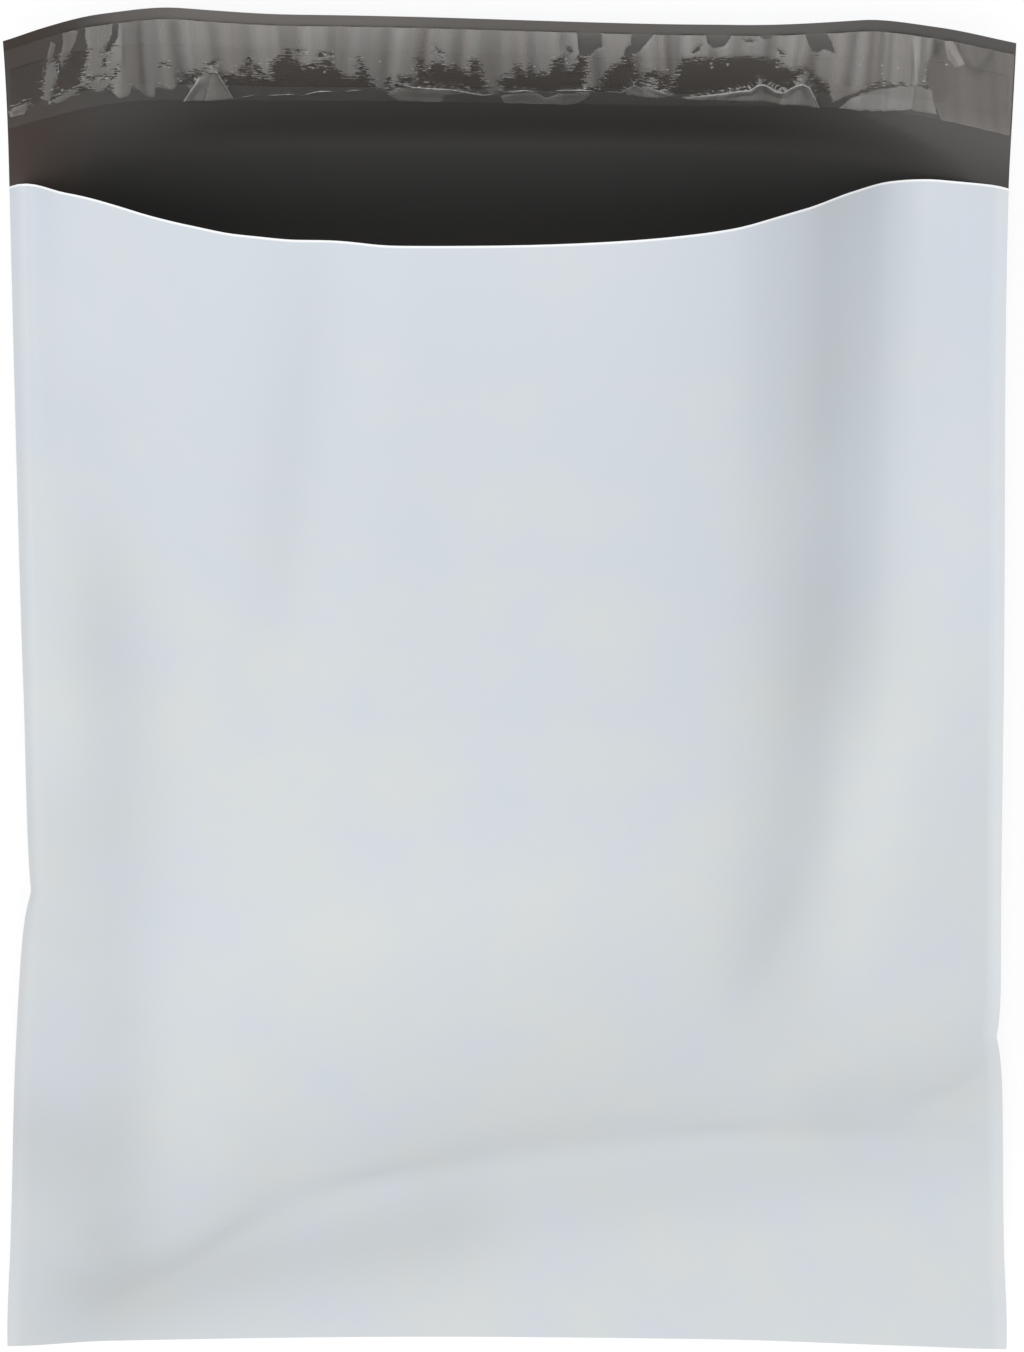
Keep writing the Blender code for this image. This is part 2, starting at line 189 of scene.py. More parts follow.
# places where the liner is stuck down on the glue or lies tight on the film, and looks clear
STUCK = [
    [(-145.5, 34.4), (-143.3, 34.1), (-144.1, 26.1), (-147.2, 20.3), (-150, 21.1), (-148.1, 23.3),
     (-146.1, 27.3)],
    [(-149.4, 18.1), (-148.7, 18), (-148.9, 14.7), (-149.2, 14.8)],
    [(-144.4, 15.5), (-144.1, 15), (-145, 11.5), (-146.5, 9.2), (-149.4, 10.8), (-146.1, 10.8)],
    [(-155.5, 11.3), (-151.4, 11.5), (-151.8, 10.7), (-155.1, 10.9)],
    [(-128.4, 14.7), (-126.6, 14.8), (-126.6, 14), (-128.4, 13.9)],
    [(-122.4, 9.7), (-115.7, 12.4), (-115, 11.2), (-119.4, 9.2)],
    [(-110.4, 16.1), (-108.2, 16.6), (-108.2, 15.4), (-111.1, 15.2)],
    [(-106.2, 11.2), (-102.5, 10.5), (-98.4, 11.6), (-95.9, 13.4), (-93.3, 10.9), (-88.5, 10.6),
     (-87.6, 17.2), (-84.6, 19.8), (-80.2, 20.7), (-78.8, 18.2), (-76.2, 16.2), (-73.2, 17.1),
     (-69.9, 16.7), (-66.2, 15.9), (-62.7, 14.2), (-61.6, 12), (-56.5, 12), (-55.6, 19.4), (-54.1, 16.9),
     (-51.7, 11.2), (-48, 4.6), (-51.2, 3), (-62.9, 3.9), (-77.6, 2.3), (-101.8, 1), (-104.1, 6)],
    [(-100.3, 12.8), (-95.7, 18.9), (-95.3, 16.4), (-97, 12.9)],
    [(-94.2, 16.1), (-92, 15.3), (-90, 11), (-93.3, 10.9)],
    [(-69.9, 21.3), (-65.5, 21.3), (-65.5, 20.5), (-69.9, 20.4)],
    [(-82.4, 22.7), (-75.1, 22.4), (-75.4, 22), (-82.1, 21.9)],
    [(-69.2, 18.4), (-65.5, 18.4), (-64.8, 15.9), (-69.2, 15.8)],
    [(-45.1, 11.8), (-44, 10.9), (-46.6, 5.6), (-47.7, 4.6)],
    [(-41.4, 11.9), (-35.5, 12), (-34.8, 9.3), (-40.7, 8.6)],
    [(-33.7, 19.9), (-32.6, 19.1), (-31.1, 14.9), (-28.9, 18.4), (-25.6, 18.5), (-23.4, 16.4),
     (-20.1, 17.8), (-17.8, 15.3), (-15.3, 14.5), (-14.2, 20.6), (-12, 19.8), (-10.9, 15.5), (-9, 10),
     (-8.6, 5.1), (-13.1, 6), (-18.6, 7.8), (-25.9, 8), (-31.5, 8.9), (-34, 11.2)],
    [(-28.3, 25.4), (-27.4, 25), (-24.8, 22.7), (-26.3, 22.2)],
    [(-4.6, 10.7), (-2, 14), (0.6, 13.2), (2.4, 18.6), (4.6, 16.1), (6.4, 14.3), (7.2, 18.8), (9, 15.3),
     (13.8, 15.5), (16.4, 20.8), (19, 22.1), (19.7, 18.3), (21.9, 16.7), (24.1, 21), (25.9, 23.2),
     (27.8, 22), (28.2, 16.9), (27.2, 10.4), (30.2, 7.5), (18.2, 7.6), (12.7, 4.8), (9, 6.7), (3.5, 7.5),
     (-2, 5.8)],
    [(24.3, 33.6), (33.1, 33.9), (33.7, 27), (30.7, 25.3), (28.5, 22.4), (25.6, 21.9), (24.8, 27.1)],
    [(20.4, 25.8), (21.9, 26.6), (23.4, 24.3), (21.9, 23.9)],
    [(33.1, 8.1), (33.5, 12.5), (35.1, 16.2), (38.1, 19.4), (40.7, 20.7), (42.1, 25.7), (43.8, 28.1),
     (44.7, 25.7), (44.7, 21.7), (46.2, 17.4), (47.8, 14.8), (46.7, 12.9), (43.4, 8.9), (38.6, 6.7),
     (33.1, 6.5)],
    [(44.5, 34.2), (54.1, 34.4), (53, 32.5), (49.7, 28.6), (47.3, 25.4), (45.4, 24.2), (44.3, 25.7)],
    [(47.8, 14.3), (50.6, 17.5), (53.2, 17.2), (55.2, 16.3), (57.8, 15.9), (59.6, 13.2), (58.1, 10.3),
     (55.2, 11.2), (53.4, 14), (50.8, 13.9), (49.3, 11.1)],
    [(63.1, 22.9), (77.8, 23.3), (86.3, 24.2), (95.5, 23.1), (98.4, 21.8), (100.1, 19.1), (103.8, 17.6),
     (107.5, 18.8), (108.9, 17.8), (106.9, 14.4), (105.1, 12.6), (101.6, 8.5), (95.9, 11.1), (92.2, 14),
     (89.2, 10.7), (83, 8.8), (66.4, 5.8), (60.9, 5.2), (59.8, 7.3), (59.6, 11.3), (61.5, 15.1),
     (62, 19.5)],
    [(71.8, 34.6), (81, 34.7), (80.6, 30.9), (78.4, 27.8), (74.7, 27), (72.9, 28.5), (71.8, 30.8)],
    [(91.4, 34.7), (95.9, 34.6), (96, 31.2), (93.1, 30.5), (91.6, 31.6)],
    [(85, 30.5), (88, 30.9), (89.8, 29.7), (87.2, 29.4)],
    [(66.8, 25.3), (68.8, 27.7), (70.3, 28.5), (69.4, 26.2), (67.5, 24.9)],
    [(97.5, 26.7), (98.6, 26.7), (101, 24.2), (99.5, 24.2)],
    [(107.3, 34.2), (115.7, 33.7), (117, 29.7), (118.1, 28), (119.4, 23.9), (116.8, 25.3), (114.6, 25.9),
     (113.2, 24.3), (111, 25.3), (109.3, 28.6)],
    [(110.8, 16.8), (112.4, 15), (116.5, 11.3), (118.1, 7.6), (119.4, 2.9), (121.4, 1), (114.8, -0.1),
     (113.9, 3.8), (112.2, 8.6), (111, 12.4)],
    [(119.2, 0.5), (123.8, 4.8), (129.9, 7.6), (134.7, 9.1), (138.6, 12), (135.6, 11.7), (131, 9.3),
     (124.8, 6.6), (120.5, 3.4)],
]
# flat facets of the loose film: outline, how hazy, which also paints the light and shade each facet catches,
# and how warm or, if negative, how cool it looks
FACETS = [
    ([(155.5, 40), (190, 40), (190, -6), (161, -6), (159.5, 0), (156.8, 6), (154.2, 12), (153.6, 20),
      (155, 30)], 0.17, 1),
    ([(155.5, 36), (160.5, 36), (161, 24), (162.5, 12), (158, 7), (154.5, 13), (154.2, 24)], 0.1, 1),
    ([(-114.3, 10.4), (-108.4, 12.8), (-112.2, 4.9), (-113.5, -1), (-120.9, -0.7),
      (-118.1, 4.6)], 0.44, -0.6),
    ([(-109.2, 14.1), (-107.8, 14.1), (-102.1, 1), (-113.4, -0.9), (-111.5, 6.3)], 0.5, 0.2),
    ([(-163.6, 32.9), (-158.2, 31.5), (-159.2, 26.9), (-162.7, 21.4), (-164.9, 19.1), (-165.4, 21.3),
      (-163.8, 27.2)], 0.4, 0.6),
    ([(-168, 30.2), (-166.3, 28), (-168.4, 20), (-170, 15.2), (-170.6, 17.4), (-169.6, 23.4)], 0.16, -0.3),
    ([(-169.8, 20.5), (-166.9, 20.5), (-166.5, 15.4), (-168, 11), (-169.3, 5.5), (-171.5, 7.3),
      (-170.8, 14.2)], 0.34, -0.4),
    ([(-168.9, 5.8), (-163.2, 7.8), (-158.8, 8.8), (-160.4, 6), (-166.2, 4.3)], 0.36, 0),
    ([(-183.8, 7), (-176.6, 7.8), (-178.3, 3.9), (-183.3, 4.1)], 0.22, 0.9),
    ([(-45.8, 4.1), (-40.7, 6.7), (-25.9, 7.1), (-17.8, 5.8), (-24.1, 3), (-25.9, -1.4),
      (-40.8, 0)], 0.26, 0.5),
    ([(-3.9, 3.7), (3.5, 6.5), (9.4, 6.2), (13.1, 3.2), (18.4, 6), (30.2, 7.5), (28.3, 3.7), (23.9, 0.1),
      (18.4, -2.4), (11, -3.3), (-2, -0.7)], 0.24, 0),
    ([(42.3, 7.3), (45.6, 12.4), (47.8, 10), (50.8, 10.6), (57, 8.8), (60.5, 5.7), (55.4, 4.5),
      (48, 4.9)], 0.6, 0),
    ([(62.7, 4.7), (70.1, 6.3), (83, 9.3), (88.5, 10.3), (92.2, 13.5), (95.1, 12), (100.8, 9), (96.2, 2.9),
      (85, 3), (70.3, 3.6)], 0.62, 0.1),
    ([(93.7, 10.6), (100.8, 8.5), (99.9, 1.3), (94, 3)], 0.42, 0.3),
    ([(100.8, 8.5), (105.4, 12.6), (108.4, 13.4), (111.5, 9.6), (114.1, 0.4), (99.9, 1.3)], 0.66, -0.3),
    ([(117.2, 11.2), (125.5, 9.7), (133.4, 10.3), (129.9, 8), (123.8, 5.3), (119.4, 2.4)], 0.5, 0.9),
    ([(121.4, -0.4), (125.7, 4.4), (136.5, 8.9), (149, 12.3), (148.7, 2.3)], 0.54, -0.6),
    ([(149, 12.3), (155.1, 11.7), (157.7, 1.9), (148.7, 1.8)], 0.42, 0),
    ([(159.3, 31.5), (162.1, 32.7), (166.7, 24.3), (163.6, 22.2), (160.6, 25.6)], 0.58, 0.4),
    ([(147.6, 32.3), (150.7, 32.8), (150.7, 22.3), (150.1, 12.5), (148.3, 12.2), (148.7, 21.9)], 0.8, 0.6),
    ([(163.2, 30.7), (165.8, 31.5), (166.5, 27.4), (170.9, 23.3), (174.2, 29.1), (177.6, 32.9),
      (173.9, 22.5), (170.6, 19.5), (167.8, 22.3)], -0.09, 0),
    ([(152.7, 20.2), (154.4, 23.6), (154.7, 12.5), (152.2, 12.9)], -0.12, 0),
    ([(155.1, 31.5), (158.6, 31.4), (157.5, 24.9), (155.3, 25.4)], -0.12, 0),
]
# sharp folds: (place, place, height in mm) along the fold, reach below it, reach above it, and how bright the
# painted highlight along its edge is
RIDGES = [
    ([(-114.3, 10.4, 0), (-115.7, 8.2, 1.6), (-118.1, 4.6, 1.8), (-120.9, -0.7, 0.8)], 0.9, 3, 0.9),
    ([(-112.1, 11.4, 0), (-109.8, 13.6, 1.8), (-107.8, 14.1, 2.4), (-106.2, 10.4, 2.2), (-103.8, 5.1, 1.4),
      (-102.5, 1.4, 0.2)], 1.6, 1.2, 0.8),
    ([(-99.9, 1.5, 0), (-96.8, 2.5, 0.6), (-93.1, 3, 0)], 3, 0.6, 0.4),
    ([(-89.8, 2.6, 0), (-87.2, 3.2, 0.6), (-81.3, 3.7, 0.6), (-78.4, 3.3, 0)], 3, 0.6, 0.5),
    ([(-76.9, 2.8, 0), (-74, 4.3, 0.6), (-70.3, 5.3, 0.8), (-67.3, 5.3, 0.6),
      (-64.8, 4.4, 0)], 3, 0.6, 0.7),
    ([(-61.5, 4.4, 0), (-58.3, 5.9, 0.7), (-54.3, 5.5, 0)], 3, 0.6, 0.6),
    ([(-46.9, 4.6, 0), (-44.3, 5.6, 0.6), (-40.7, 6.2, 0)], 3, 0.6, 0.4),
    ([(-41, 8.6, 0), (-35.9, 7.8, 0.8), (-29.6, 7.5, 1), (-22.3, 7.2, 1), (-17.8, 6.3, 0.9),
      (-14.2, 5.4, 0.8), (-9.8, 4.5, 0.7), (-4.2, 5.2, 0)], 5, 0.6, 0.7),
    ([(-2, 5.8, 0), (1.7, 7, 0.8), (5.3, 7.6, 0.9), (9.8, 6.2, 0)], 5, 0.6, 0.8),
    ([(16, 7, 0), (19, 8.1, 0.8), (27.6, 8.4, 0.8), (30.9, 7.5, 0)], 5, 0.6, 0.8),
    ([(33.9, 7.1, 0), (36.8, 7.7, 0.5), (41.2, 7.3, 0.4), (45.6, 12.4, 1.8),
      (48.6, 9.1, 0.3)], 2.5, 0.8, 0.5),
    ([(50, 10.6, 0), (53.4, 9.7, 1.2), (57, 8.3, 1.3), (60.9, 5.7, 0)], 2.5, 0.8, 0.5),
    ([(62.4, 4.7, 0), (70.1, 6.3, 0.8), (77.5, 7.8, 1.2), (83, 9.3, 1.6), (88.5, 10.3, 2),
      (91.1, 13.1, 2.8), (92.9, 13.5, 2.8), (94.8, 12.5, 2.5), (97.7, 10, 2.2), (100.8, 8.5, 1.6),
      (103.2, 10.8, 2.2), (105.8, 12.6, 2.6), (108, 13.4, 2.8), (110.6, 11, 2.6), (112.8, 5.8, 2),
      (114.4, 0.4, 0.8)], 4, 0.8, 0.85),
    ([(120.7, -0.4, 0), (129.5, 0, 1.4), (138.6, 1, 1.6), (148.3, 2.2, 0)], 1, 6, 1),
    ([(148.7, 30.5, 0), (149.4, 22, 1), (149.6, 15.7, 1), (149, 11.9, 0)], 1.6, 1.6, 0.5),
    ([(160.8, 32.3, 0), (162.3, 27.7, 1), (165.8, 22.8, 0)], 2.2, 1.2, 0.3),
    ([(-142.8, 31.4, 0), (-142.8, 22.3, 0.6), (-142.8, 13.7, 0)], 1.2, 1.2, 0.25),
    ([(-165.6, 20.1, 0), (-166.3, 17, 0.9), (-167.4, 10.9, 0)], 1.2, 1.2, 0.5),
    ([(20.4, 26.6, 0), (18.6, 23.7, 0.6), (17.5, 20.8, 0)], 1, 1.5, 0.3),
]
# painted glints: tiny bright dots on the liner
GLINTS = [
    (-166, 16.9), (-168.4, 10.4), (-169.3, 5.5), (-89.1, 17.1), (-89.1, 18.8), (-72.5, 15.4), (-68.3, 13.7),
    (-47.8, 18.7), (-29.6, 16.2), (20.4, 21.8), (20.8, 20.1), (73.8, 20.8), (74.2, 19.1), (80, 20.4),
    (128.8, 18.9), (137.1, 18.8), (137.3, 15.6), (143, 18.7), (160.4, 22.8), (-58.9, 19.4), (-35.9, 15.6),
    (-16, 16.7),
]


def through(points, place):
    """Smooth curve through (place, value) points that doesn't overshoot them, level past both ends.

    A cubic between each two points. Its slope at a point is the harmonic mean of the slopes on its two sides,
    and zero where they turn.
    """
    places, values = np.array(points, float).T
    step = np.diff(places)
    rise = np.diff(values) / step
    before, after = rise[:-1], rise[1:]
    turns = before * after <= 0
    slope = np.zeros_like(values)
    slope[1:-1] = np.where(turns, 0.0, 2 * before * after / np.where(turns, 1.0, before + after))
    k = np.clip(np.searchsorted(places, place) - 1, 0, len(step) - 1)
    f = np.clip((place - places[k]) / step[k], 0.0, 1.0)
    ends = values[k] * (1 + 2 * f) * (1 - f) ** 2 + values[k + 1] * f * f * (3 - 2 * f)
    return ends + step[k] * f * (1 - f) * (slope[k] * (1 - f) - slope[k + 1] * f)


def ease(t):
    """Zero below 0, one above 1, and level at both: three t squared less two t cubed."""
    t = np.clip(t, 0.0, 1.0)
    return t * t * (3 - 2 * t)


def by_side(across, left, right):
    return np.where(across < 0, left, right)


def half_width(bag, across, along):
    """The flat half width, less the seam's pull at that share of the pocket and less an exponential pinch."""
    share = along / bag.pocket
    left = bag.left_pull * through(LEFT_SEAM_PULL, share)
    right = bag.right_pull * through(RIGHT_SEAM_PULL, share)
    for side, (size, below, above, at) in ((-1, LEFT_PINCH), (1, RIGHT_PINCH)):
        off = along - at * bag.pocket
        pinch = size * np.exp(-np.abs(off) / np.where(off < 0, below, above))
        left, right = (left + pinch, right) if side < 0 else (left, right + pinch)
    return bag.width / 2 - by_side(across, left, right)


def back_height(bag, across, along):
    """Inner face of the back panel and flap.

    The panel is flat in the middle and a square law lifts it to the welds. Past the lip line the flap goes
    over from the panel's height to the free edge's, soft at the lip line and bowed between.
    """
    share = np.minimum(along / bag.pocket, 1.0)
    lift = by_side(
        across,
        bag.left_lift * through(LEFT_SEAM_RISE, share),
        bag.right_lift * through(RIGHT_SEAM_RISE, share),
    )
    bend = np.clip((np.abs(across) - FLAT_SHARE) / (1 - FLAT_SHARE), 0.0, 1.0)
    panel = bag.gauge + lift * bend**2
    out = np.clip((along - bag.pocket) / bag.flap, 0.0, 1.0)
    rise = (np.hypot(out, FLAP_BEND) - FLAP_BEND) / (np.hypot(1.0, FLAP_BEND) - FLAP_BEND)
    rise = rise * (1 + through(FLAP_BOW, across) * (1 - rise))
    return panel + (bag.flap_lift * through(FREE_EDGE_PROFILE, across) - panel) * rise


def soft_creases(bag, across, along, creases):
    """Sum of creases: each a Gaussian across a straight line, faded out smoothly at the line's two ends."""
    total = np.zeros_like(across)
    x, y = across * bag.width / 2, along
    for start, end, reach, height in creases:
        x0, y0 = start[0] * bag.width / 2, start[1] * bag.pocket
        dx, dy = end[0] * bag.width / 2 - x0, end[1] * bag.pocket - y0
        length = math.hypot(dx, dy)
        t = ((x - x0) * dx + (y - y0) * dy) / length**2
        off = ((x - x0) * dy - (y - y0) * dx) / length
        ends = ease(t * 4 + 0.5) * ease((1 - t) * 4 + 0.5)
        total = total + height * np.exp(-0.5 * (off / reach) ** 2) * ends
    return total


def opening(bag, across, along):
    """Clear height between the two panels' inner faces, zero in the welds and at the bottom fold.

    A low skirt below the slanting crease, a belly that is a square law across and eases over into the mouth's
    profile, both past the crease by a rounded ramp, less the Gaussian valleys.
    """
    across = np.clip(across / (1 - 2 * bag.weld / bag.width), -1.0, 1.0)
    inside = np.maximum(along - bag.fold, 0.0)
    share = along / bag.pocket
    past = inside - bag.pocket * through(CREASE_ROUTE, across)
    skirt = bag.skirt * (1 - across**4) * ease(inside / (inside - past + 2 * bag.crease_radius))
    past = 0.5 * (past + np.hypot(past, bag.crease_radius))
    rise = 1 - np.maximum(1 - past / bag.skirt_ramp, 0.0) ** 2
    rise = rise * ease(inside / bag.crease_radius)
    to_mouth = ease((share - MOUTH_SHARE) / (1 - MOUTH_SHARE))
    belly = bag.belly * (1 - across**2)
    body = belly * (1 - to_mouth) + bag.mouth * through(LIP_PROFILE, across) * to_mouth
    clear = skirt * (1 - to_mouth) + body * rise
    for depth, route, reach, along_it in VALLEYS:
        off = (across - through(route, share)) / reach
        clear = clear - np.minimum(depth * through(along_it, share), 0.5 * clear) * np.exp(-0.5 * off**2)
    return clear


def front_height(bag, across, along):
    """The back panel's height, the opening over it and the front panel's own soft creases, which fade out
    towards the welds and the bottom fold with the opening."""
    clear = opening(bag, across, along)
    creases = soft_creases(bag, across, along, FRONT_CREASES)
    creases = np.maximum(creases, -0.5 * clear) * ease(clear / CREASE_FADE)
    return back_height(bag, across, along) + clear + creases


def film_grid(bag, height, across, along):
    """Grid of points, a row for each place along.

    The film doesn't stretch, so what a column rises it loses in reach: each step's reach is the root of its
    length squared less its rise squared.
    """
    s, v = np.meshgrid(across, along)
    z = height(bag, s, v)
    rise, run = np.diff(z, axis=0), np.diff(v, axis=0)
    reach = np.sqrt(run**2 - np.minimum(rise**2, (STEEPEST * run) ** 2))
    start = bag.fold_draw * through(FOLD_PROFILE, s[:1])
    y = np.concatenate([start, start + np.cumsum(reach, axis=0)])
    return np.stack([s * half_width(bag, s, v), y, z], axis=-1)


def normals(grid):
    """Unit normals of a grid of points, pointing up: the cross product of its two slopes."""
    n = np.cross(np.gradient(grid, axis=1), np.gradient(grid, axis=0))
    return n / np.linalg.norm(n, axis=-1, keepdims=True)


def columns(bag):
    """Places across: two cells in each weld and the rest spread evenly between the welds."""
    weld = 2 * bag.weld / bag.width
    inner = np.linspace(weld - 1, 1 - weld, bag.columns + 1)
    half = np.array([1.0, 1 - weld / 2])
    return np.concatenate([-half, inner, half[::-1]])


def pocket_rows(bag):
    """Places along the pocket: one cell in the bottom fold, even cells, and two thin cells at the lip."""
    lip = bag.lip_roll
    return np.concatenate(
        [[0.0], np.linspace(bag.fold, bag.pocket - 2 * lip, bag.rows + 1), [bag.pocket - lip, bag.pocket]]
    )


def flap_rows(bag):
    return bag.pocket + np.linspace(0.0, bag.flap, bag.flap_rows + 1)[1:]


def footprint_shift(bag):
    """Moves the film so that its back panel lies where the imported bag's does."""
    low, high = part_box("bag_film")
    across = columns(bag)
    along = np.concatenate([pocket_rows(bag), flap_rows(bag)])
    back = film_grid(bag, back_height, across, along)
    y = (low.y + high.y) / 2 - (back[..., 1].min() + back[..., 1].max()) / 2
    return np.array([0.0, y, low.z])


def quads(a):
    """Faces of a grid of point numbers, each turned the way its rows and columns run."""
    return np.stack([a[:-1, :-1], a[:-1, 1:], a[1:, 1:], a[1:, :-1]], axis=-1).reshape(-1, 4)


def turned(faces):
    """The same faces turned over, each still split along the same diagonal."""
    return faces[:, [0, 3, 2, 1]]


def wall(a, b):
    """Faces between two lines of point numbers."""
    return np.stack([a[:-1], a[1:], b[1:], b[:-1]], axis=-1)


def inner_painted_light(bag, across, along):
    """How grey and how brown painted light makes the inner film at each place.

    Greyer deep in the pocket where shade falls, as a painted reflection along the flap's free edge, and as
    painted light past a line that sweeps in over the flap from the right weld. Browner towards the left weld,
    as painted light shining through the film.
    """
    past_lip = along - bag.pocket
    # Painted light: lighter deep in the pocket where shade falls and on the flap, the light at the right, and
    # a reflection on the margin by the free edge.
    painted_fill = through(PAINTED_FILL_GREY, past_lip)
    right = ease((across - through(LIT_FROM, past_lip)) / 0.09) * through(LIT_GREY, past_lip)
    margin_reflection = ease((past_lip - bag.flap + MARGIN_START) / MARGIN_RAMP) * through(PAINTED_MARGIN_REFLECTION, across)
    grey = np.maximum(np.maximum(margin_reflection, right), painted_fill)
    brown = ease((BROWN_FROM - across) / BROWN_RAMP) * (1 - 0.4 * margin_reflection)
    return grey, brown


def make_piece(name, points, faces, materials, slots=None, values=None, uv=None, sharp=50.0):
    """A mesh object at the origin from arrays of points and faces, with a value for each point in each named
    attribute, and a UV place for each point."""
    mesh = bpy.data.meshes.new(name)
    mesh.from_pydata(points.tolist(), [], faces)
    for material in materials:
        mesh.materials.append(material)
    if slots is not None:
        mesh.polygons.foreach_set("material_index", slots)
    for title, value in (values or {}).items():
        data = mesh.attributes.new(title, "FLOAT", "POINT").data
        data.foreach_set("value", value.astype(np.float32).ravel())
    if uv is not None:
        corner = np.empty(len(mesh.loops), np.int32)
        mesh.loops.foreach_get("vertex_index", corner)
        layer = mesh.uv_layers.new(name="UVMap")
        layer.uv.foreach_set("vector", uv[corner].astype(np.float32).ravel())
    mesh.shade_smooth()
    mesh.set_sharp_from_angle(angle=math.radians(sharp))
    mesh.validate()
    piece = bpy.data.objects.new(name, mesh)
    bpy.context.scene.collection.objects.link(piece)
    return piece


def linear(code):
    """An sRGB hex colour as linear values: each channel by the standard curve."""
    channels = [int(code[k : k + 2], 16) / 255 for k in (1, 3, 5)]
    bent = [c / 12.92 if c <= 0.04045 else ((c + 0.055) / 1.055) ** 2.4 for c in channels]
    return (*bent, 1.0)


def add(tree, kind, inputs=None, **settings):
    """Adds a node, sets its properties, and sets or links each of its inputs."""
    node = tree.nodes.new("ShaderNode" + kind)
    for name, value in settings.items():
        setattr(node, name, value)
    for name, value in (inputs or {}).items():
        if isinstance(value, bpy.types.NodeSocket):
            tree.links.new(value, node.inputs[name])
        else:
            node.inputs[name].default_value = value
    return node


def new_material(name):
    """A material with only its Principled shader and output, and its node tree and shader."""
    material = bpy.data.materials.new(name)
    material.use_nodes = True
    return material, material.node_tree, material.node_tree.nodes["Principled BSDF"]


def coextruded_outer_film(bag):
    """Pale bluish grey outer layer of blown polyethylene film: satin, with very faint die lines along the web
    and a slight mottle. Painted light and shade on it: bluer towards the flap, lighter in the welds, darker
    in the valleys, along the crease and down the left side, and a white highlight along the cut edge at the
    lip."""
    material, tree, shader = new_material("coextruded_outer_film")
    where = add(tree, "TexCoord").outputs["Object"]
    clouds = {"Vector": where, "Scale": 24.0, "Detail": 4.0, "Roughness": 0.6}
    mottle = add(tree, "TexNoise", clouds).outputs["Fac"]
    # Painted colour of the light: the film is drawn bluer towards the lip and the flap.
    upper = add(tree, "SeparateXYZ", {"Vector": where}).outputs["Y"]
    upper = {"Value": upper, "From Min": 0.0, "From Max": 0.15, "To Max": 0.5}
    upper = add(tree, "MapRange", upper).outputs[0]
    mottle_and_light_tint = add(tree, "Math", {0: mottle, 1: 2.4, 2: -0.7}, operation="MULTIPLY_ADD").outputs[0]
    mottle_and_light_tint = add(tree, "Math", {0: mottle_and_light_tint, 1: upper}, operation="SUBTRACT", use_clamp=True).outputs[0]
    faces = {"A": linear(bag.outer_colour), "B": linear(bag.outer_tint)}
    tint = add(tree, "Mix", {"Factor": mottle_and_light_tint, **faces}, data_type="RGBA")
    # Painted light: the welds are drawn lighter to lift the shade that falls on them.
    weld = add(tree, "Attribute", attribute_name="weld").outputs["Fac"]
    painted_weld_light = add(tree, "Math", {0: weld, 1: 0.35}, operation="MULTIPLY").outputs[0]
    faces = {"A": socket(tint, "Result"), "B": linear(bag.weld_light_colour)}
    colour = add(tree, "Mix", {"Factor": painted_weld_light, **faces}, data_type="RGBA")
    uneven = add(tree, "Math", {0: mottle, 1: 0.8, 2: 0.6}, operation="MULTIPLY_ADD").outputs[0]
    # Painted shade: darker in the valleys, along the crease and down the left side.
    thin = add(tree, "Attribute", attribute_name="thin").outputs["Fac"]
    thin = add(tree, "Math", {0: thin, 1: uneven}, operation="MULTIPLY", use_clamp=True).outputs[0]
    faces = {"A": socket(colour, "Result"), "B": linear(bag.shade_colour)}
    colour = add(tree, "Mix", {"Factor": thin, **faces}, data_type="RGBA")
    # Painted highlight: a near-white line along the cut edge at the lip.
    lip = add(tree, "Attribute", attribute_name="lip_highlight").outputs["Fac"]
    faces = {"A": socket(colour, "Result"), "B": linear(bag.edge_highlight_colour)}
    colour = add(tree, "Mix", {"Factor": lip, **faces}, data_type="RGBA")
    lines = add(tree, "Mapping", {"Vector": where, "Scale": (900.0, 18.0, 18.0)}).outputs[0]
    die = add(tree, "TexNoise", {"Vector": lines, "Scale": 1.0, "Detail": 1.0}).outputs["Fac"]
    grain = add(tree, "TexNoise", {"Vector": where, "Scale": 420.0, "Detail": 2.0}).outputs["Fac"]
    relief = add(tree, "Math", {0: die, 1: grain}, operation="ADD").outputs[0]
    bump = add(tree, "Bump", {"Height": relief, "Strength": 0.25, "Distance": 0.00006}).outputs[0]
    tree.links.new(socket(colour, "Result"), shader.inputs["Base Color"])
    tree.links.new(bump, shader.inputs["Normal"])
    shader.inputs["Roughness"].default_value = bag.outer_roughness
    shader.inputs["IOR"].default_value = 1.5
    return material


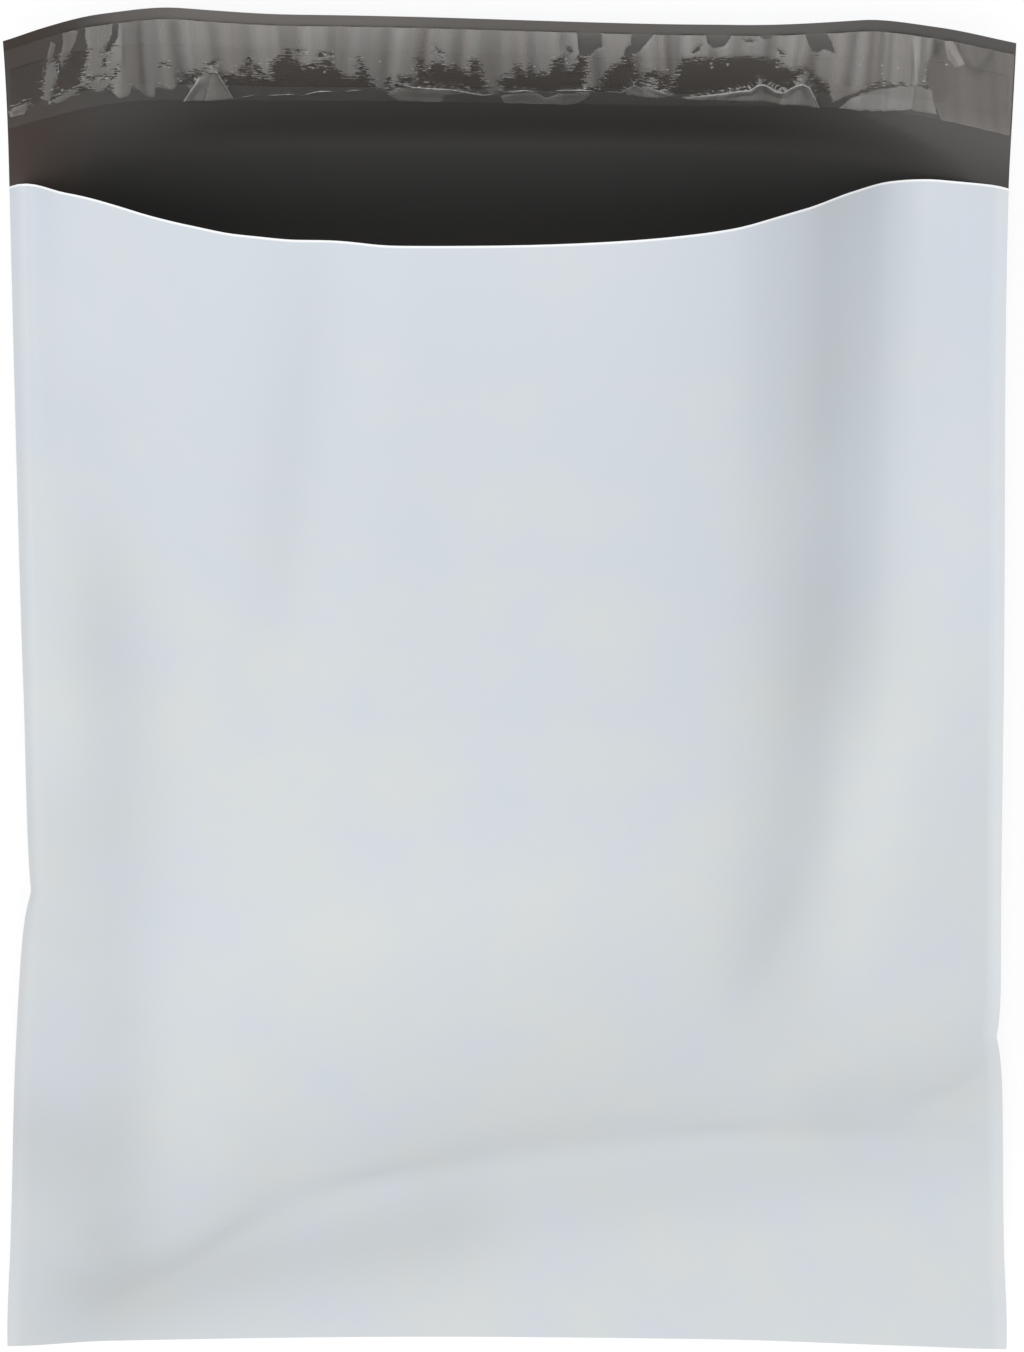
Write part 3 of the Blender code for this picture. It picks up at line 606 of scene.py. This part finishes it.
def carbon_black_film(bag):
    """Near-black inner layer of the same film, coloured with carbon black: a warm dark satin that picks up a
    soft sheen. Painted light makes it greyer deep in the pocket, on the flap and at the right, and browner
    towards the left weld as light shining through the film."""
    material, tree, shader = new_material("carbon_black_film")
    where = add(tree, "TexCoord").outputs["Object"]
    cloud = add(tree, "TexNoise", {"Vector": where, "Scale": 28.0, "Detail": 3.0}).outputs["Fac"]
    faces = {"A": linear(bag.inner_colour), "B": linear(bag.inner_lit_colour)}
    # Painted light: greyer deep in the pocket, on the flap, at the right and along the free edge.
    grey = add(tree, "Attribute", attribute_name="grey").outputs["Fac"]
    colour = add(tree, "Mix", {"Factor": grey, **faces}, data_type="RGBA")
    # Painted light shining through the film: browner towards the left weld, varied by the cloud noise.
    brown = add(tree, "Attribute", attribute_name="brown").outputs["Fac"]
    share = add(tree, "Math", {0: cloud, 1: 0.8, 2: 0.6}, operation="MULTIPLY_ADD").outputs[0]
    share = add(tree, "Math", {0: brown, 1: share}, operation="MULTIPLY", use_clamp=True).outputs[0]
    faces = {"A": socket(colour, "Result"), "B": linear(bag.inner_through_light_colour)}
    colour = add(tree, "Mix", {"Factor": share, **faces}, data_type="RGBA")
    grain = add(tree, "TexNoise", {"Vector": where, "Scale": 160.0, "Detail": 3.0}).outputs["Fac"]
    bump = add(tree, "Bump", {"Height": grain, "Strength": 0.3, "Distance": 0.0001}).outputs[0]
    tree.links.new(socket(colour, "Result"), shader.inputs["Base Color"])
    tree.links.new(bump, shader.inputs["Normal"])
    shader.inputs["Roughness"].default_value = bag.inner_roughness
    shader.inputs["IOR"].default_value = 1.5
    return material


def socket(node, name):
    """The enabled output of that name, because a Mix node has one for each kind of value."""
    return next(s for s in node.outputs if s.name == name and s.enabled)


def length(name, description, default):
    """A length in metres, shown in the user's own unit."""
    return FloatProperty(name=name, description=description, default=default, unit="LENGTH")


def hex_colour(name, description, default):
    return StringProperty(name=name, description=description + ", as sRGB hex", default=default)


class MailerFilmSettings(bpy.types.PropertyGroup):
    """Sizes and colours of the bag film"""

    width: length("Width", "Flat width of the bag", 0.368)
    pocket: length("Pocket", "Bottom fold to lip", 0.457)
    flap: length("Flap", "Lip line to free edge", 0.057)
    gauge: length("Gauge", "Thickness of the film", 0.00006)
    weld: length("Weld", "Width of each side weld", 0.003)
    fold: length("Fold", "Height of the flat bottom fold", 0.001)
    mouth: length("Mouth", "Height of the open mouth", 0.079)
    belly: length("Belly", "Height of the puffed middle", 0.046)
    skirt: length("Skirt", "Height below the crease", 0.010)
    skirt_ramp: length("Ramp", "Crease to full belly", 0.13)
    crease_radius: length("Crease", "Softness of the crease", 0.008)
    left_lift: length("Left lift", "Height of the left weld", 0.031)
    right_lift: length("Right lift", "Height of the right weld", 0.032)
    left_pull: length("Left pull", "Left weld drawn in", 0.0137)
    right_pull: length("Right pull", "Right weld drawn in", 0.0149)
    fold_draw: length("Fold draw", "Bottom fold drawn in", 0.0044)
    flap_lift: length("Flap lift", "Greatest height of the free edge", 0.0475)
    lip_roll: length("Lip roll", "Width of the rolled cut edge", 0.0005)
    columns: IntProperty(name="Columns", description="Cells across the bag", default=116)
    rows: IntProperty(name="Rows", description="Cells along the pocket", default=150)
    flap_rows: IntProperty(name="Flap rows", description="Cells along the flap", default=26)
    outer_colour: hex_colour("Outer colour", "Outer colour", "#D0D7DF")
    outer_tint: hex_colour("Outer tint", "Outer tint", "#D6DAD9")
    # Colour of the painted shade in the valleys and along the crease.
    shade_colour: hex_colour("Thin film", "where the dark layer shows", "#AAAFB3")
    # Colour of the painted light that lifts the shade in the welds.
    weld_light_colour: hex_colour("Weld colour", "Weld colour", "#E6E8EA")
    # Colour of the painted highlight along the cut edge at the lip.
    edge_highlight_colour: hex_colour("Cut edge", "Cut edge", "#FBFCFD")
    inner_colour: hex_colour("Inner colour", "Inner colour", "#262524")
    # Colours of the painted light on the inner film, and of the painted light shining through it near the
    # left weld.
    inner_lit_colour: hex_colour("Inner grey", "where light reaches it", "#6E6A67")
    inner_through_light_colour: hex_colour("Inner brown", "where it is drawn thin", "#423833")
    outer_roughness: FloatProperty(name="Outer roughness", description="Satin finish", default=0.42)
    inner_roughness: FloatProperty(name="Inner roughness", description="Satin finish", default=0.68)


class MailerLinerSettings(bpy.types.PropertyGroup):
    """Sizes and colours of the glue line and its liner"""

    inset: length("Inset", "Free edge to the liner", 0.004)
    width: length("Width", "Width of the liner", 0.032)
    gauge: length("Gauge", "Thickness of the liner", 0.00005)
    glue_margin: length("Margin", "Liner's lower edge to the glue", 0.0065)
    glue_width: length("Glue", "Width of the glue line", 0.016)
    glue_thickness: length("Glue film", "Thickness of the glue", 0.00015)
    glue_end: length("Glue end", "Weld edge to the glue's end", 0.002)
    clearance: length("Clearance", "Gap between touching pieces", 0.0003)
    columns: IntProperty(name="Columns", description="Cells along the strip", default=760)
    rows: IntProperty(name="Rows", description="Cells across the strip", default=62)
    glue_rows: IntProperty(name="Glue rows", description="Cells across the glue line", default=16)
    glue_colour: hex_colour("Glue colour", "Glue colour", "#37312E")
    glue_streak: hex_colour("Glue streaks", "Glue streaks", "#4F4844")
    cool_colour: hex_colour("Cool haze", "Cool haze", "#A5A5A2")
    warm_colour: hex_colour("Warm haze", "Warm haze", "#ADA7A2")
    # Colour of the painted highlights along the folds, at the glints and in the torn fringe.
    edge_highlight_colour: hex_colour("Fold edges", "Fold edges", "#C2C4C2")
    # Colour of the painted shadows in the torn fringe.
    gap_colour: hex_colour("Gaps", "the shadows where it tore free", "#1F1C1B")


class MailerStageSettings(bpy.types.PropertyGroup):
    """Camera, light and floor"""

    tilt: FloatProperty(
        name="Tilt", description="Camera off the vertical", default=math.radians(21.0), unit="ROTATION"
    )
    roll: FloatProperty(name="Roll", description="Turn of the picture", default=0.003, unit="ROTATION")
    distance: length("Distance", "Camera to the bag", 2.4)
    focal: FloatProperty(name="Focal length", description="In pixels of the picture", default=6772.9)
    key: FloatProperty(name="Key", description="Power of the key light", default=31.0, unit="POWER")
    top: FloatProperty(name="Top", description="Power of the light overhead", default=32.0, unit="POWER")
    ambient: FloatProperty(name="Ambient", description="Strength of the surroundings", default=0.70)


class MAILER_OT_film(bpy.types.Operator):
    """Build the bag film: two panels welded at the sides, one film round the bottom fold, and the flap"""

    bl_idname = "mailer.film"
    bl_label = "Bag film"

    def execute(self, context):
        bag = context.scene.mailer_film
        across, pocket = columns(bag), pocket_rows(bag)
        along = np.concatenate([pocket, flap_rows(bag)])
        lip, side = len(pocket) - 1, 2
        shift = footprint_shift(bag)
        front_in = film_grid(bag, front_height, across, pocket) + shift
        back_in = film_grid(bag, back_height, across, along) + shift
        front_out = front_in + bag.gauge * normals(front_in)
        back_out = back_in - bag.gauge * normals(back_in)
        grids = [front_out, back_out, back_in, front_in[2:, side + 1 : -side - 1]]
        starts = np.cumsum([0] + [g[..., 0].size for g in grids])
        spans = zip(starts[:-1], starts[1:], grids)
        number = [np.arange(first, last).reshape(g.shape[:2]) for first, last, g in spans]
        top, under, inner = number[:3]
        roof = inner[: lip + 1].copy()
        roof[2:, side + 1 : -side - 1] = number[3]
        pocket_floor = quads(inner[1 : lip + 1, side:-side])
        dark = [turned(quads(roof[1:, side:-side])), pocket_floor, quads(inner[lip:])]
        pale = [
            quads(top),
            turned(quads(under)),
            wall(under[0], top[0]),
            wall(inner[-1], under[-1]),
            wall(top[lip], roof[lip]),
            wall(top[:lip, 0], under[:lip, 0]),
            wall(under[:lip, -1], top[:lip, -1]),
            wall(inner[lip:, 0], under[lip:, 0]),
            wall(under[lip:, -1], inner[lip:, -1]),
        ]
        ends = [
            [top[lip - 1, 0], top[lip, 0], inner[lip, 0], under[lip, 0], under[lip - 1, 0]],
            [under[lip - 1, -1], under[lip, -1], inner[lip, -1], top[lip, -1], top[lip - 1, -1]],
        ]
        faces = np.concatenate(dark + pale).tolist() + [[int(k) for k in ring] for ring in ends]
        slots = np.repeat([1, 0], [sum(map(len, dark)), sum(map(len, pale)) + len(ends)])
        points = np.concatenate([g.reshape(-1, 3) for g in grids])
        used = np.unique(np.concatenate([np.ravel(f) for f in (np.concatenate(dark + pale), *ends)]))
        renumber = np.zeros(len(points), int)
        renumber[used] = np.arange(len(used))
        faces = [[int(renumber[k]) for k in face] for face in faces]
        s, v = np.meshgrid(across, along)
        weld = (np.abs(s) > 1 - 2.2 * bag.weld / bag.width).astype(float)
        # painted light on the inner film, and painted light shining through it near the left weld
        grey, brown = inner_painted_light(bag, s, v)
        parts = [slice(0, lip + 1), slice(0, None), slice(0, None)]
        spread = {}
        # painted highlight along the cut edge at the lip
        lip_highlight = (v > bag.pocket - 1.5 * bag.lip_roll) & (v < bag.pocket + 1e-6)
        # painted shade in the valleys, along the crease and down the left side
        thin = np.clip(soft_creases(bag, s, v, PAINTED_SHADE_PLACES), 0.0, 1.0)
        lip_highlight = lip_highlight.astype(float)
        fields = {"weld": weld, "grey": grey, "brown": brown, "lip_highlight": lip_highlight, "thin": thin}
        for title, value in fields.items():
            whole = [value[p].ravel() for p in parts]
            roof_only = value[2 : lip + 1, side + 1 : -side - 1].ravel()
            spread[title] = np.concatenate([*whole, roof_only])[used]
        materials = [coextruded_outer_film(bag), carbon_black_film(bag)]
        piece = make_piece("mailer_film", points[used], faces, materials, slots, spread)
        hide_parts("bag_film")
        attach(piece, "root")
        return {"FINISHED"}


def flap_marks(strip, bag):
    """Distances from the lip line: the liner's lower edge, the glue's two edges and the liner's top."""
    top = bag.flap - strip.inset
    low = top - strip.width
    glue_low = low + strip.glue_margin
    return low, glue_low, glue_low + strip.glue_width, top


def on_flap(bag, across, out):
    """Grid of points and upward normals of the flap's upper face, at each place across and distance out."""
    along = np.concatenate([pocket_rows(bag), bag.pocket + out])
    grid = film_grid(bag, back_height, across, along) + footprint_shift(bag)
    return grid[-len(out) :], normals(grid)[-len(out) :]


def closed_sheet(low, high):
    """Points and faces of a thin sheet between two grids of points, closed all round."""
    count = low[..., 0].size
    a = np.arange(count).reshape(low.shape[:2])
    b = a + count
    rims = [wall(a[0], b[0]), wall(b[-1], a[-1]), wall(b[:, 0], a[:, 0]), wall(a[:, -1], b[:, -1])]
    faces = [quads(b), turned(quads(a)), *rims]
    return np.concatenate([low.reshape(-1, 3), high.reshape(-1, 3)]), np.concatenate(faces).tolist()


def outline_distance(corners, x, w):
    """Distance in mm from a closed outline, positive inside it: the least distance to its sides. A place is
    inside where a line from it crosses the sides an odd number of times."""
    ends = np.array(corners, float)
    least = np.full(x.shape, np.inf)
    inside = np.zeros(x.shape, bool)
    for (x0, w0), (x1, w1) in zip(ends, np.roll(ends, -1, axis=0)):
        dx, dw = x1 - x0, w1 - w0
        t = np.clip(((x - x0) * dx + (w - w0) * dw) / (dx**2 + dw**2), 0.0, 1.0)
        least = np.minimum(least, np.hypot(x - x0 - t * dx, w - w0 - t * dw))
        if dw:
            inside ^= ((w0 > w) != (w1 > w)) & (x < x0 + dx * (w - w0) / dw)
    return np.where(inside, least, -least)


def fold_distance(line, x, w):
    """Distance in mm from a line of (place, place, height) points, positive below it, and the line's height
    at the nearest place on it."""
    least = np.full(x.shape, np.inf)
    side, height = np.zeros(x.shape), np.zeros(x.shape)
    for (x0, w0, h0), (x1, w1, h1) in zip(line[:-1], line[1:]):
        dx, dw = x1 - x0, w1 - w0
        t = np.clip(((x - x0) * dx + (w - w0) * dw) / (dx**2 + dw**2), 0.0, 1.0)
        away = np.hypot(x - x0 - t * dx, w - w0 - t * dw)
        nearer = away < least
        least = np.where(nearer, away, least)
        side = np.where(nearer, np.sign((x - x0) * dw - (w - w0) * dx), side)
        height = np.where(nearer, h0 + (h1 - h0) * t, height)
    return least * side, height


def wander(places, pitch, seed):
    """Smooth random values from -1 to 1 that change at about the given pitch: a curve through points set at
    uneven steps, turned up and down in turn."""
    draw = np.random.default_rng(seed)
    low, high = places.min(), places.max()
    count = int((high - low) / pitch) + 3
    knots = low - pitch + np.cumsum(pitch * draw.uniform(0.5, 1.5, count + 4))
    values = draw.uniform(0.25, 1.0, count + 4) * np.where(np.arange(count + 4) % 2, 1.0, -1.0)
    return through(np.column_stack([knots, values]), places)


def liner_fields(x, w):
    """How the liner lies and looks at each place on it, in mm.

    rim is the distance inside the hazy part's edge. tone and warmth come from flutes and from the facets,
    whose haze also paints the light and shade on them. shine and glint are painted highlights.
    lift is the greatest of the folds, each falling off straight on its two sides, plus the flutes where it is
    loose.
    """
    rim = outline_distance(HAZE_OUTLINE, x, w)
    for corners in STUCK:
        rim = np.minimum(rim, -outline_distance(corners, x, w))
    slant = x + FLUTE_SLANT * (w - FLUTE_PIVOT) * np.sin(x / FLUTE_WAVE)
    flutes = wander(slant, 4.5, 3) + 0.6 * wander(slant, 2.2, 5)
    tone = 0.5 + 0.28 * wander(slant, 7.0, 11) + 0.14 * wander(slant, 3.0, 12)
    fluted = tone
    warmth = 0.8 * wander(slant, 6.0, 21)
    flat = np.zeros_like(x)
    for corners, level, tint in FACETS:
        inside = outline_distance(corners, x, w)
        share = ease(inside / (SHARP_EDGE if level > SHARP_LEVEL else SOFT_EDGE) + 0.5)
        own = level * (0.55 + 0.9 * fluted) if level > 0 else tone + level
        tone = tone + (own - tone) * share
        warmth = warmth + (tint - warmth) * share
        if level > HAZY_LEVEL:
            rim = np.maximum(rim, inside)
            flat = np.maximum(flat, share)
    lift = np.zeros_like(x)
    # shine: how bright the painted highlight along the nearest fold edge is
    edge, shine = np.full(x.shape, 9.0), np.zeros_like(x)
    for line, below, above, bright in RIDGES:
        off, height = fold_distance(line, x, w)
        fall = np.maximum(1 - np.abs(off) / np.where(off > 0, below, above), 0.0)
        lift = np.maximum(lift, height * fall)
        nearer = np.abs(off) < np.abs(edge)
        edge = np.where(nearer, off, edge)
        shine = np.where(nearer, bright * np.minimum(height / 0.4, 1.0), shine)
    # painted glints at the listed places
    glint = np.zeros_like(x)
    for gx, gw in GLINTS:
        glint = np.maximum(glint, np.exp(-((x - gx) ** 2 + (w - gw) ** 2) / 0.16))
    loose = ease(rim / 1.5 + 0.2)
    lift = lift + 0.28 * (1 + 0.5 * flutes) * loose
    fields = {"rim": np.clip(rim, -RIM_REACH, RIM_REACH), "tone": tone, "warmth": warmth, "fold_edge": edge}
    return lift, {**fields, "shine": shine, "glint": glint, "flat": flat}


def hot_melt_glue(strip):
    """Pressure-sensitive hot-melt glue, rolled on as a thin line: dark, wet-looking and streaked along it."""
    material, tree, shader = new_material("hot_melt_glue_line")
    where = add(tree, "TexCoord").outputs["Object"]
    along = add(tree, "Mapping", {"Vector": where, "Scale": (70.0, 900.0, 900.0)}).outputs[0]
    fine = {"Vector": along, "Scale": 1.0, "Detail": 3.0, "Roughness": 0.6}
    streak = add(tree, "TexNoise", fine).outputs["Fac"]
    faces = {"A": linear(strip.glue_colour), "B": linear(strip.glue_streak)}
    colour = add(tree, "Mix", {"Factor": streak, **faces}, data_type="RGBA")
    bump = add(tree, "Bump", {"Height": streak, "Strength": 0.5, "Distance": 0.0001}).outputs[0]
    tree.links.new(socket(colour, "Result"), shader.inputs["Base Color"])
    tree.links.new(bump, shader.inputs["Normal"])
    shader.inputs["Roughness"].default_value = 0.25
    return material


def polypropylene_liner(strip):
    """Clear cast polypropylene strip, silicone-coated: hazy and fluted where air lies under it, clear where
    it is stuck to the glue, with painted highlights along its sharp folds and at tiny glints, and painted
    highlights and shadows along the torn fringe of its hazy part."""
    material, tree, shader = new_material("cast_polypropylene_liner")
    names = ("rim", "torn", "tone", "warmth", "fold_edge", "shine", "glint")
    value = {name: add(tree, "Attribute", attribute_name=name).outputs["Fac"] for name in names}
    place = add(tree, "TexCoord").outputs["UV"]
    streaks = add(tree, "Mapping", {"Vector": place, "Scale": (0.35, 1.6, 1.0)}).outputs[0]
    fine = {"Vector": streaks, "Scale": 1.0, "Detail": 2.0, "Roughness": 0.6}
    streak = add(tree, "TexNoise", fine).outputs["Fac"]
    torn = add(tree, "Math", {0: streak, 1: 11.0, 2: -5.5}, operation="MULTIPLY_ADD").outputs[0]
    torn = {0: value["torn"], 1: torn, 2: value["rim"]}
    torn = add(tree, "Math", torn, operation="MULTIPLY_ADD").outputs[0]
    haze = {"Value": torn, "From Min": -0.15, "From Max": 0.25}
    haze = add(tree, "MapRange", haze, interpolation_type="SMOOTHSTEP").outputs[0]
    # Painted highlights: bright lines along the sharp folds, and painted glints.
    edge = add(tree, "Math", {0: value["fold_edge"]}, operation="ABSOLUTE").outputs[0]
    line = {"Value": edge, "From Min": 0.03, "From Max": 0.20, "To Min": 1.0, "To Max": 0.0}
    line = add(tree, "MapRange", line, interpolation_type="SMOOTHSTEP").outputs[0]
    line = add(tree, "Math", {0: line, 1: value["shine"]}, operation="MULTIPLY").outputs[0]
    glint = value["glint"]
    bright = add(tree, "Math", {0: line, 1: glint}, operation="MAXIMUM", use_clamp=True).outputs[0]
    thick = add(tree, "Math", {0: value["tone"], 1: 0.78, 2: 0.01}, operation="MULTIPLY_ADD").outputs[0]
    cover = add(tree, "Math", {0: haze, 1: thick, 2: 0.05}, operation="MULTIPLY_ADD").outputs[0]
    cover = add(tree, "Math", {0: cover, 1: bright}, operation="MAXIMUM", use_clamp=True).outputs[0]
    near = add(tree, "Math", {0: torn}, operation="ABSOLUTE").outputs[0]
    near = {"Value": near, "From Min": 0.2, "From Max": 1.6, "To Min": 1.0, "To Max": 0.0}
    near = add(tree, "MapRange", near).outputs[0]
    near = add(tree, "Math", {0: near, 1: value["torn"]}, operation="MULTIPLY").outputs[0]
    # Painted highlights and shadows: white and dark dashes along the torn fringe of the hazy part.
    dashes = {"Vector": place, "Location": (7.0, 3.0, 0.0), "Scale": (0.30, 2.2, 1.0)}
    dashes = add(tree, "Mapping", dashes).outputs[0]
    dash = add(tree, "TexNoise", {"Vector": dashes, "Scale": 1.0, "Detail": 1.0}).outputs["Fac"]
    white = add(tree, "MapRange", {"Value": dash, "From Min": 0.62, "From Max": 0.68}).outputs[0]
    white = add(tree, "Math", {0: white, 1: near}, operation="MULTIPLY").outputs[0]
    black = add(tree, "MapRange", {"Value": dash, "From Min": 0.39, "From Max": 0.33}).outputs[0]
    black = add(tree, "Math", {0: black, 1: near}, operation="MULTIPLY").outputs[0]
    both = add(tree, "Math", {0: white, 1: black}, operation="MAXIMUM").outputs[0]
    cover = add(tree, "Math", {0: cover, 1: both}, operation="MAXIMUM", use_clamp=True).outputs[0]
    warm = {0: value["warmth"], 1: 0.5, 2: 0.5}
    warm = add(tree, "Math", warm, operation="MULTIPLY_ADD", use_clamp=True).outputs[0]
    faces = {"A": linear(strip.cool_colour), "B": linear(strip.warm_colour)}
    colour = add(tree, "Mix", {"Factor": warm, **faces}, data_type="RGBA")
    faces = {"A": socket(colour, "Result"), "B": linear(strip.gap_colour)}
    colour = add(tree, "Mix", {"Factor": black, **faces}, data_type="RGBA")
    bright = add(tree, "Math", {0: bright, 1: white}, operation="MAXIMUM").outputs[0]
    faces = {"A": socket(colour, "Result"), "B": linear(strip.edge_highlight_colour)}
    colour = add(tree, "Mix", {"Factor": bright, **faces}, data_type="RGBA")
    creases = add(tree, "Mapping", {"Vector": place, "Scale": (1.1, 0.16, 1.0)}).outputs[0]
    crease = add(tree, "TexNoise", {"Vector": creases, "Scale": 1.0, "Detail": 3.0}).outputs["Fac"]
    bump = add(tree, "Bump", {"Height": crease, "Strength": 0.6, "Distance": 0.0004}).outputs[0]
    tree.links.new(socket(colour, "Result"), shader.inputs["Base Color"])
    tree.links.new(cover, shader.inputs["Alpha"])
    tree.links.new(bump, shader.inputs["Normal"])
    shader.inputs["Roughness"].default_value = 0.22
    shader.inputs["IOR"].default_value = 1.49
    return material


class MAILER_OT_glue(bpy.types.Operator):
    """Lay the glue line along the flap"""

    bl_idname = "mailer.glue"
    bl_label = "Glue line"

    def execute(self, context):
        bag, strip = context.scene.mailer_film, context.scene.mailer_liner
        low, top = flap_marks(strip, bag)[1:3]
        end = 1 - 2 * strip.glue_end / bag.width
        across = np.linspace(-end, end, 2 * bag.columns + 1)
        points, up = on_flap(bag, across, np.linspace(low, top, strip.glue_rows + 1))
        base = points + strip.clearance * up
        points, faces = closed_sheet(base, base + strip.glue_thickness * up)
        piece = make_piece("glue_line", points, faces, [hot_melt_glue(strip)])
        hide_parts("adhesive_strip")
        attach(piece, "root")
        return {"FINISHED"}


class MAILER_OT_liner(bpy.types.Operator):
    """Lay the wrinkled release liner over the glue"""

    bl_idname = "mailer.liner"
    bl_label = "Release liner"

    def execute(self, context):
        bag, strip = context.scene.mailer_film, context.scene.mailer_liner
        low, glue_low, glue_top, top = flap_marks(strip, bag)
        across = np.linspace(-1, 1, strip.columns + 1)
        out = np.linspace(low, top, strip.rows + 1)
        points, up = on_flap(bag, across, out)
        x, w = np.meshgrid(across * bag.width / 2 / MM, (out - low) / MM)
        lift, fields = liner_fields(x, w)
        from_low, from_top = w - (glue_low - low) / MM, (glue_top - low) / MM - w
        on_glue = ease(1 + from_low / 2) * ease(1 + from_top / 2)
        fields["torn"] = (0.15 + 0.85 * on_glue) * (1 - fields.pop("flat"))
        fields["tone"] = fields["tone"] * (1 - 0.08 * on_glue)
        clear = 2 * strip.clearance + strip.glue_thickness
        base = points + (clear + MM * lift)[..., None] * up
        points, faces = closed_sheet(base, base + strip.gauge * up)
        values = {name: np.concatenate([field.ravel()] * 2) for name, field in fields.items()}
        uv = np.tile(np.stack([x.ravel(), w.ravel()], axis=-1), (2, 1))
        piece = make_piece("liner", points, faces, [polypropylene_liner(strip)], values=values, uv=uv)
        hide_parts("release_liner")
        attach(piece, "root")
        return {"FINISHED"}


def seen_directly(tree):
    """One where the camera, a reflection or a see-through piece shows a surface, and zero for other light."""
    rays = add(tree, "LightPath").outputs
    faces = {0: rays["Is Camera Ray"], 1: rays["Is Glossy Ray"]}
    seen = add(tree, "Math", faces, operation="MAXIMUM").outputs[0]
    return add(tree, "Math", {0: seen, 1: rays["Is Transmission Ray"]}, operation="MAXIMUM").outputs[0]


def stage_floor(extent):
    """A white floor: plain diffuse for the light it gives back, and near white where the camera, a reflection
    or a see-through piece shows it, less a soft shadow."""
    half = extent / 2
    points = np.array([[-half, -half, 0], [half, -half, 0], [half, half, 0], [-half, half, 0]])
    material, tree, shader = new_material("white_paper_sweep")
    tree.nodes.remove(shader)
    seen = seen_directly(tree)
    paper = add(tree, "BsdfDiffuse", {"Color": (0.85, 0.85, 0.85, 1.0)}).outputs[0]
    shadowed = add(tree, "BsdfDiffuse", {"Color": (0.20, 0.20, 0.20, 1.0)}).outputs[0]
    glow = add(tree, "Emission", {"Color": (0.83, 0.83, 0.83, 1.0)}).outputs[0]
    white = add(tree, "AddShader", {0: shadowed, 1: glow}).outputs[0]
    both = add(tree, "MixShader", {"Fac": seen, 1: paper, 2: white}).outputs[0]
    tree.links.new(both, tree.nodes["Material Output"].inputs["Surface"])
    floor = make_piece("paper_sweep", points, [[0, 1, 2, 3]], [material])


def stage_world(strength):
    """White where the camera, a reflection or a see-through piece shows it, and grey light elsewhere."""
    world = bpy.data.worlds.new("white_surround")
    world.use_nodes = True
    tree = world.node_tree
    seen = seen_directly(tree)
    level = {0: seen, 1: 1 - strength, 2: strength}
    level = add(tree, "Math", level, operation="MULTIPLY_ADD").outputs[0]
    tree.links.new(level, tree.nodes["Background"].inputs["Strength"])
    tree.nodes["Background"].inputs["Color"].default_value = (1.0, 1.0, 1.0, 1.0)
    bpy.context.scene.world = world


def area_light(name, place, target, size, power):
    """A soft rectangular light at a place, turned to its target."""
    light = bpy.data.lights.new(name, "AREA")
    light.shape = "RECTANGLE"
    light.size, light.size_y = size
    light.energy = power
    lamp = bpy.data.objects.new(name, light)
    lamp.location = place
    lamp.rotation_euler = (Vector(target) - Vector(place)).to_track_quat("-Z", "Y").to_euler()
    bpy.context.scene.collection.objects.link(lamp)


class MAILER_OT_stage(bpy.types.Operator):
    """Set up the floor, the soft light and the camera, which looks down from the flap's side"""

    bl_idname = "mailer.stage"
    bl_label = "Stage"

    def execute(self, context):
        stage = context.scene.mailer_stage
        stage_floor(FLOOR_EXTENT)
        stage_world(stage.ambient)
        area_light("key", LIGHT_DISTANCE * Vector(KEY_WAY).normalized(), LIGHT_TARGET, (2.6, 2.6), stage.key)
        area_light("top", (0.0, 0.3, LIGHT_DISTANCE), LIGHT_TARGET, (1.6, 1.6), stage.top)
        data = bpy.data.cameras.new("camera")
        data.sensor_width = 36.0
        data.lens = stage.focal * data.sensor_width / PICTURE_HEIGHT
        camera = bpy.data.objects.new("camera", data)
        c, s = math.cos(stage.tilt), math.sin(stage.tilt)
        right = Vector((math.cos(stage.roll), math.sin(stage.roll) * c, -math.sin(stage.roll) * s))
        back = Vector((0.0, s, c))
        turn = Matrix((right, back.cross(right), back)).transposed().to_4x4()
        place = Vector(CAMERA_AIM) + stage.distance * back
        camera.matrix_world = Matrix.Translation(place) @ turn
        context.scene.collection.objects.link(camera)
        context.scene.camera = camera
        context.scene.view_settings.view_transform = "Standard"
        return {"FINISHED"}


class MAILER_PT_panel(bpy.types.Panel):
    """Lists the pieces in the order in which they are built"""

    bl_label = "Poly mailer bag"
    bl_space_type = "VIEW_3D"
    bl_region_type = "UI"
    bl_category = "Mailer"

    def draw(self, context):
        for operator in OPERATORS:
            self.layout.operator(operator.bl_idname)


OPERATORS = (MAILER_OT_film, MAILER_OT_glue, MAILER_OT_liner, MAILER_OT_stage)
SETTINGS = {
    "mailer_film": MailerFilmSettings,
    "mailer_liner": MailerLinerSettings,
    "mailer_stage": MailerStageSettings,
}


def register():
    for group in SETTINGS.values():
        bpy.utils.register_class(group)
    for item in (*OPERATORS, MAILER_PT_panel):
        bpy.utils.register_class(item)
    for name, group in SETTINGS.items():
        setattr(bpy.types.Scene, name, PointerProperty(type=group))


def unregister():
    for name in SETTINGS:
        delattr(bpy.types.Scene, name)
    for item in (MAILER_PT_panel, *reversed(OPERATORS)):
        bpy.utils.unregister_class(item)
    for group in reversed(list(SETTINGS.values())):
        bpy.utils.unregister_class(group)


def main():
    register()
    bpy.ops.mailer.film()
    bpy.ops.mailer.glue()
    bpy.ops.mailer.liner()
    bpy.ops.mailer.stage()


if __name__ == "__main__":
    main()
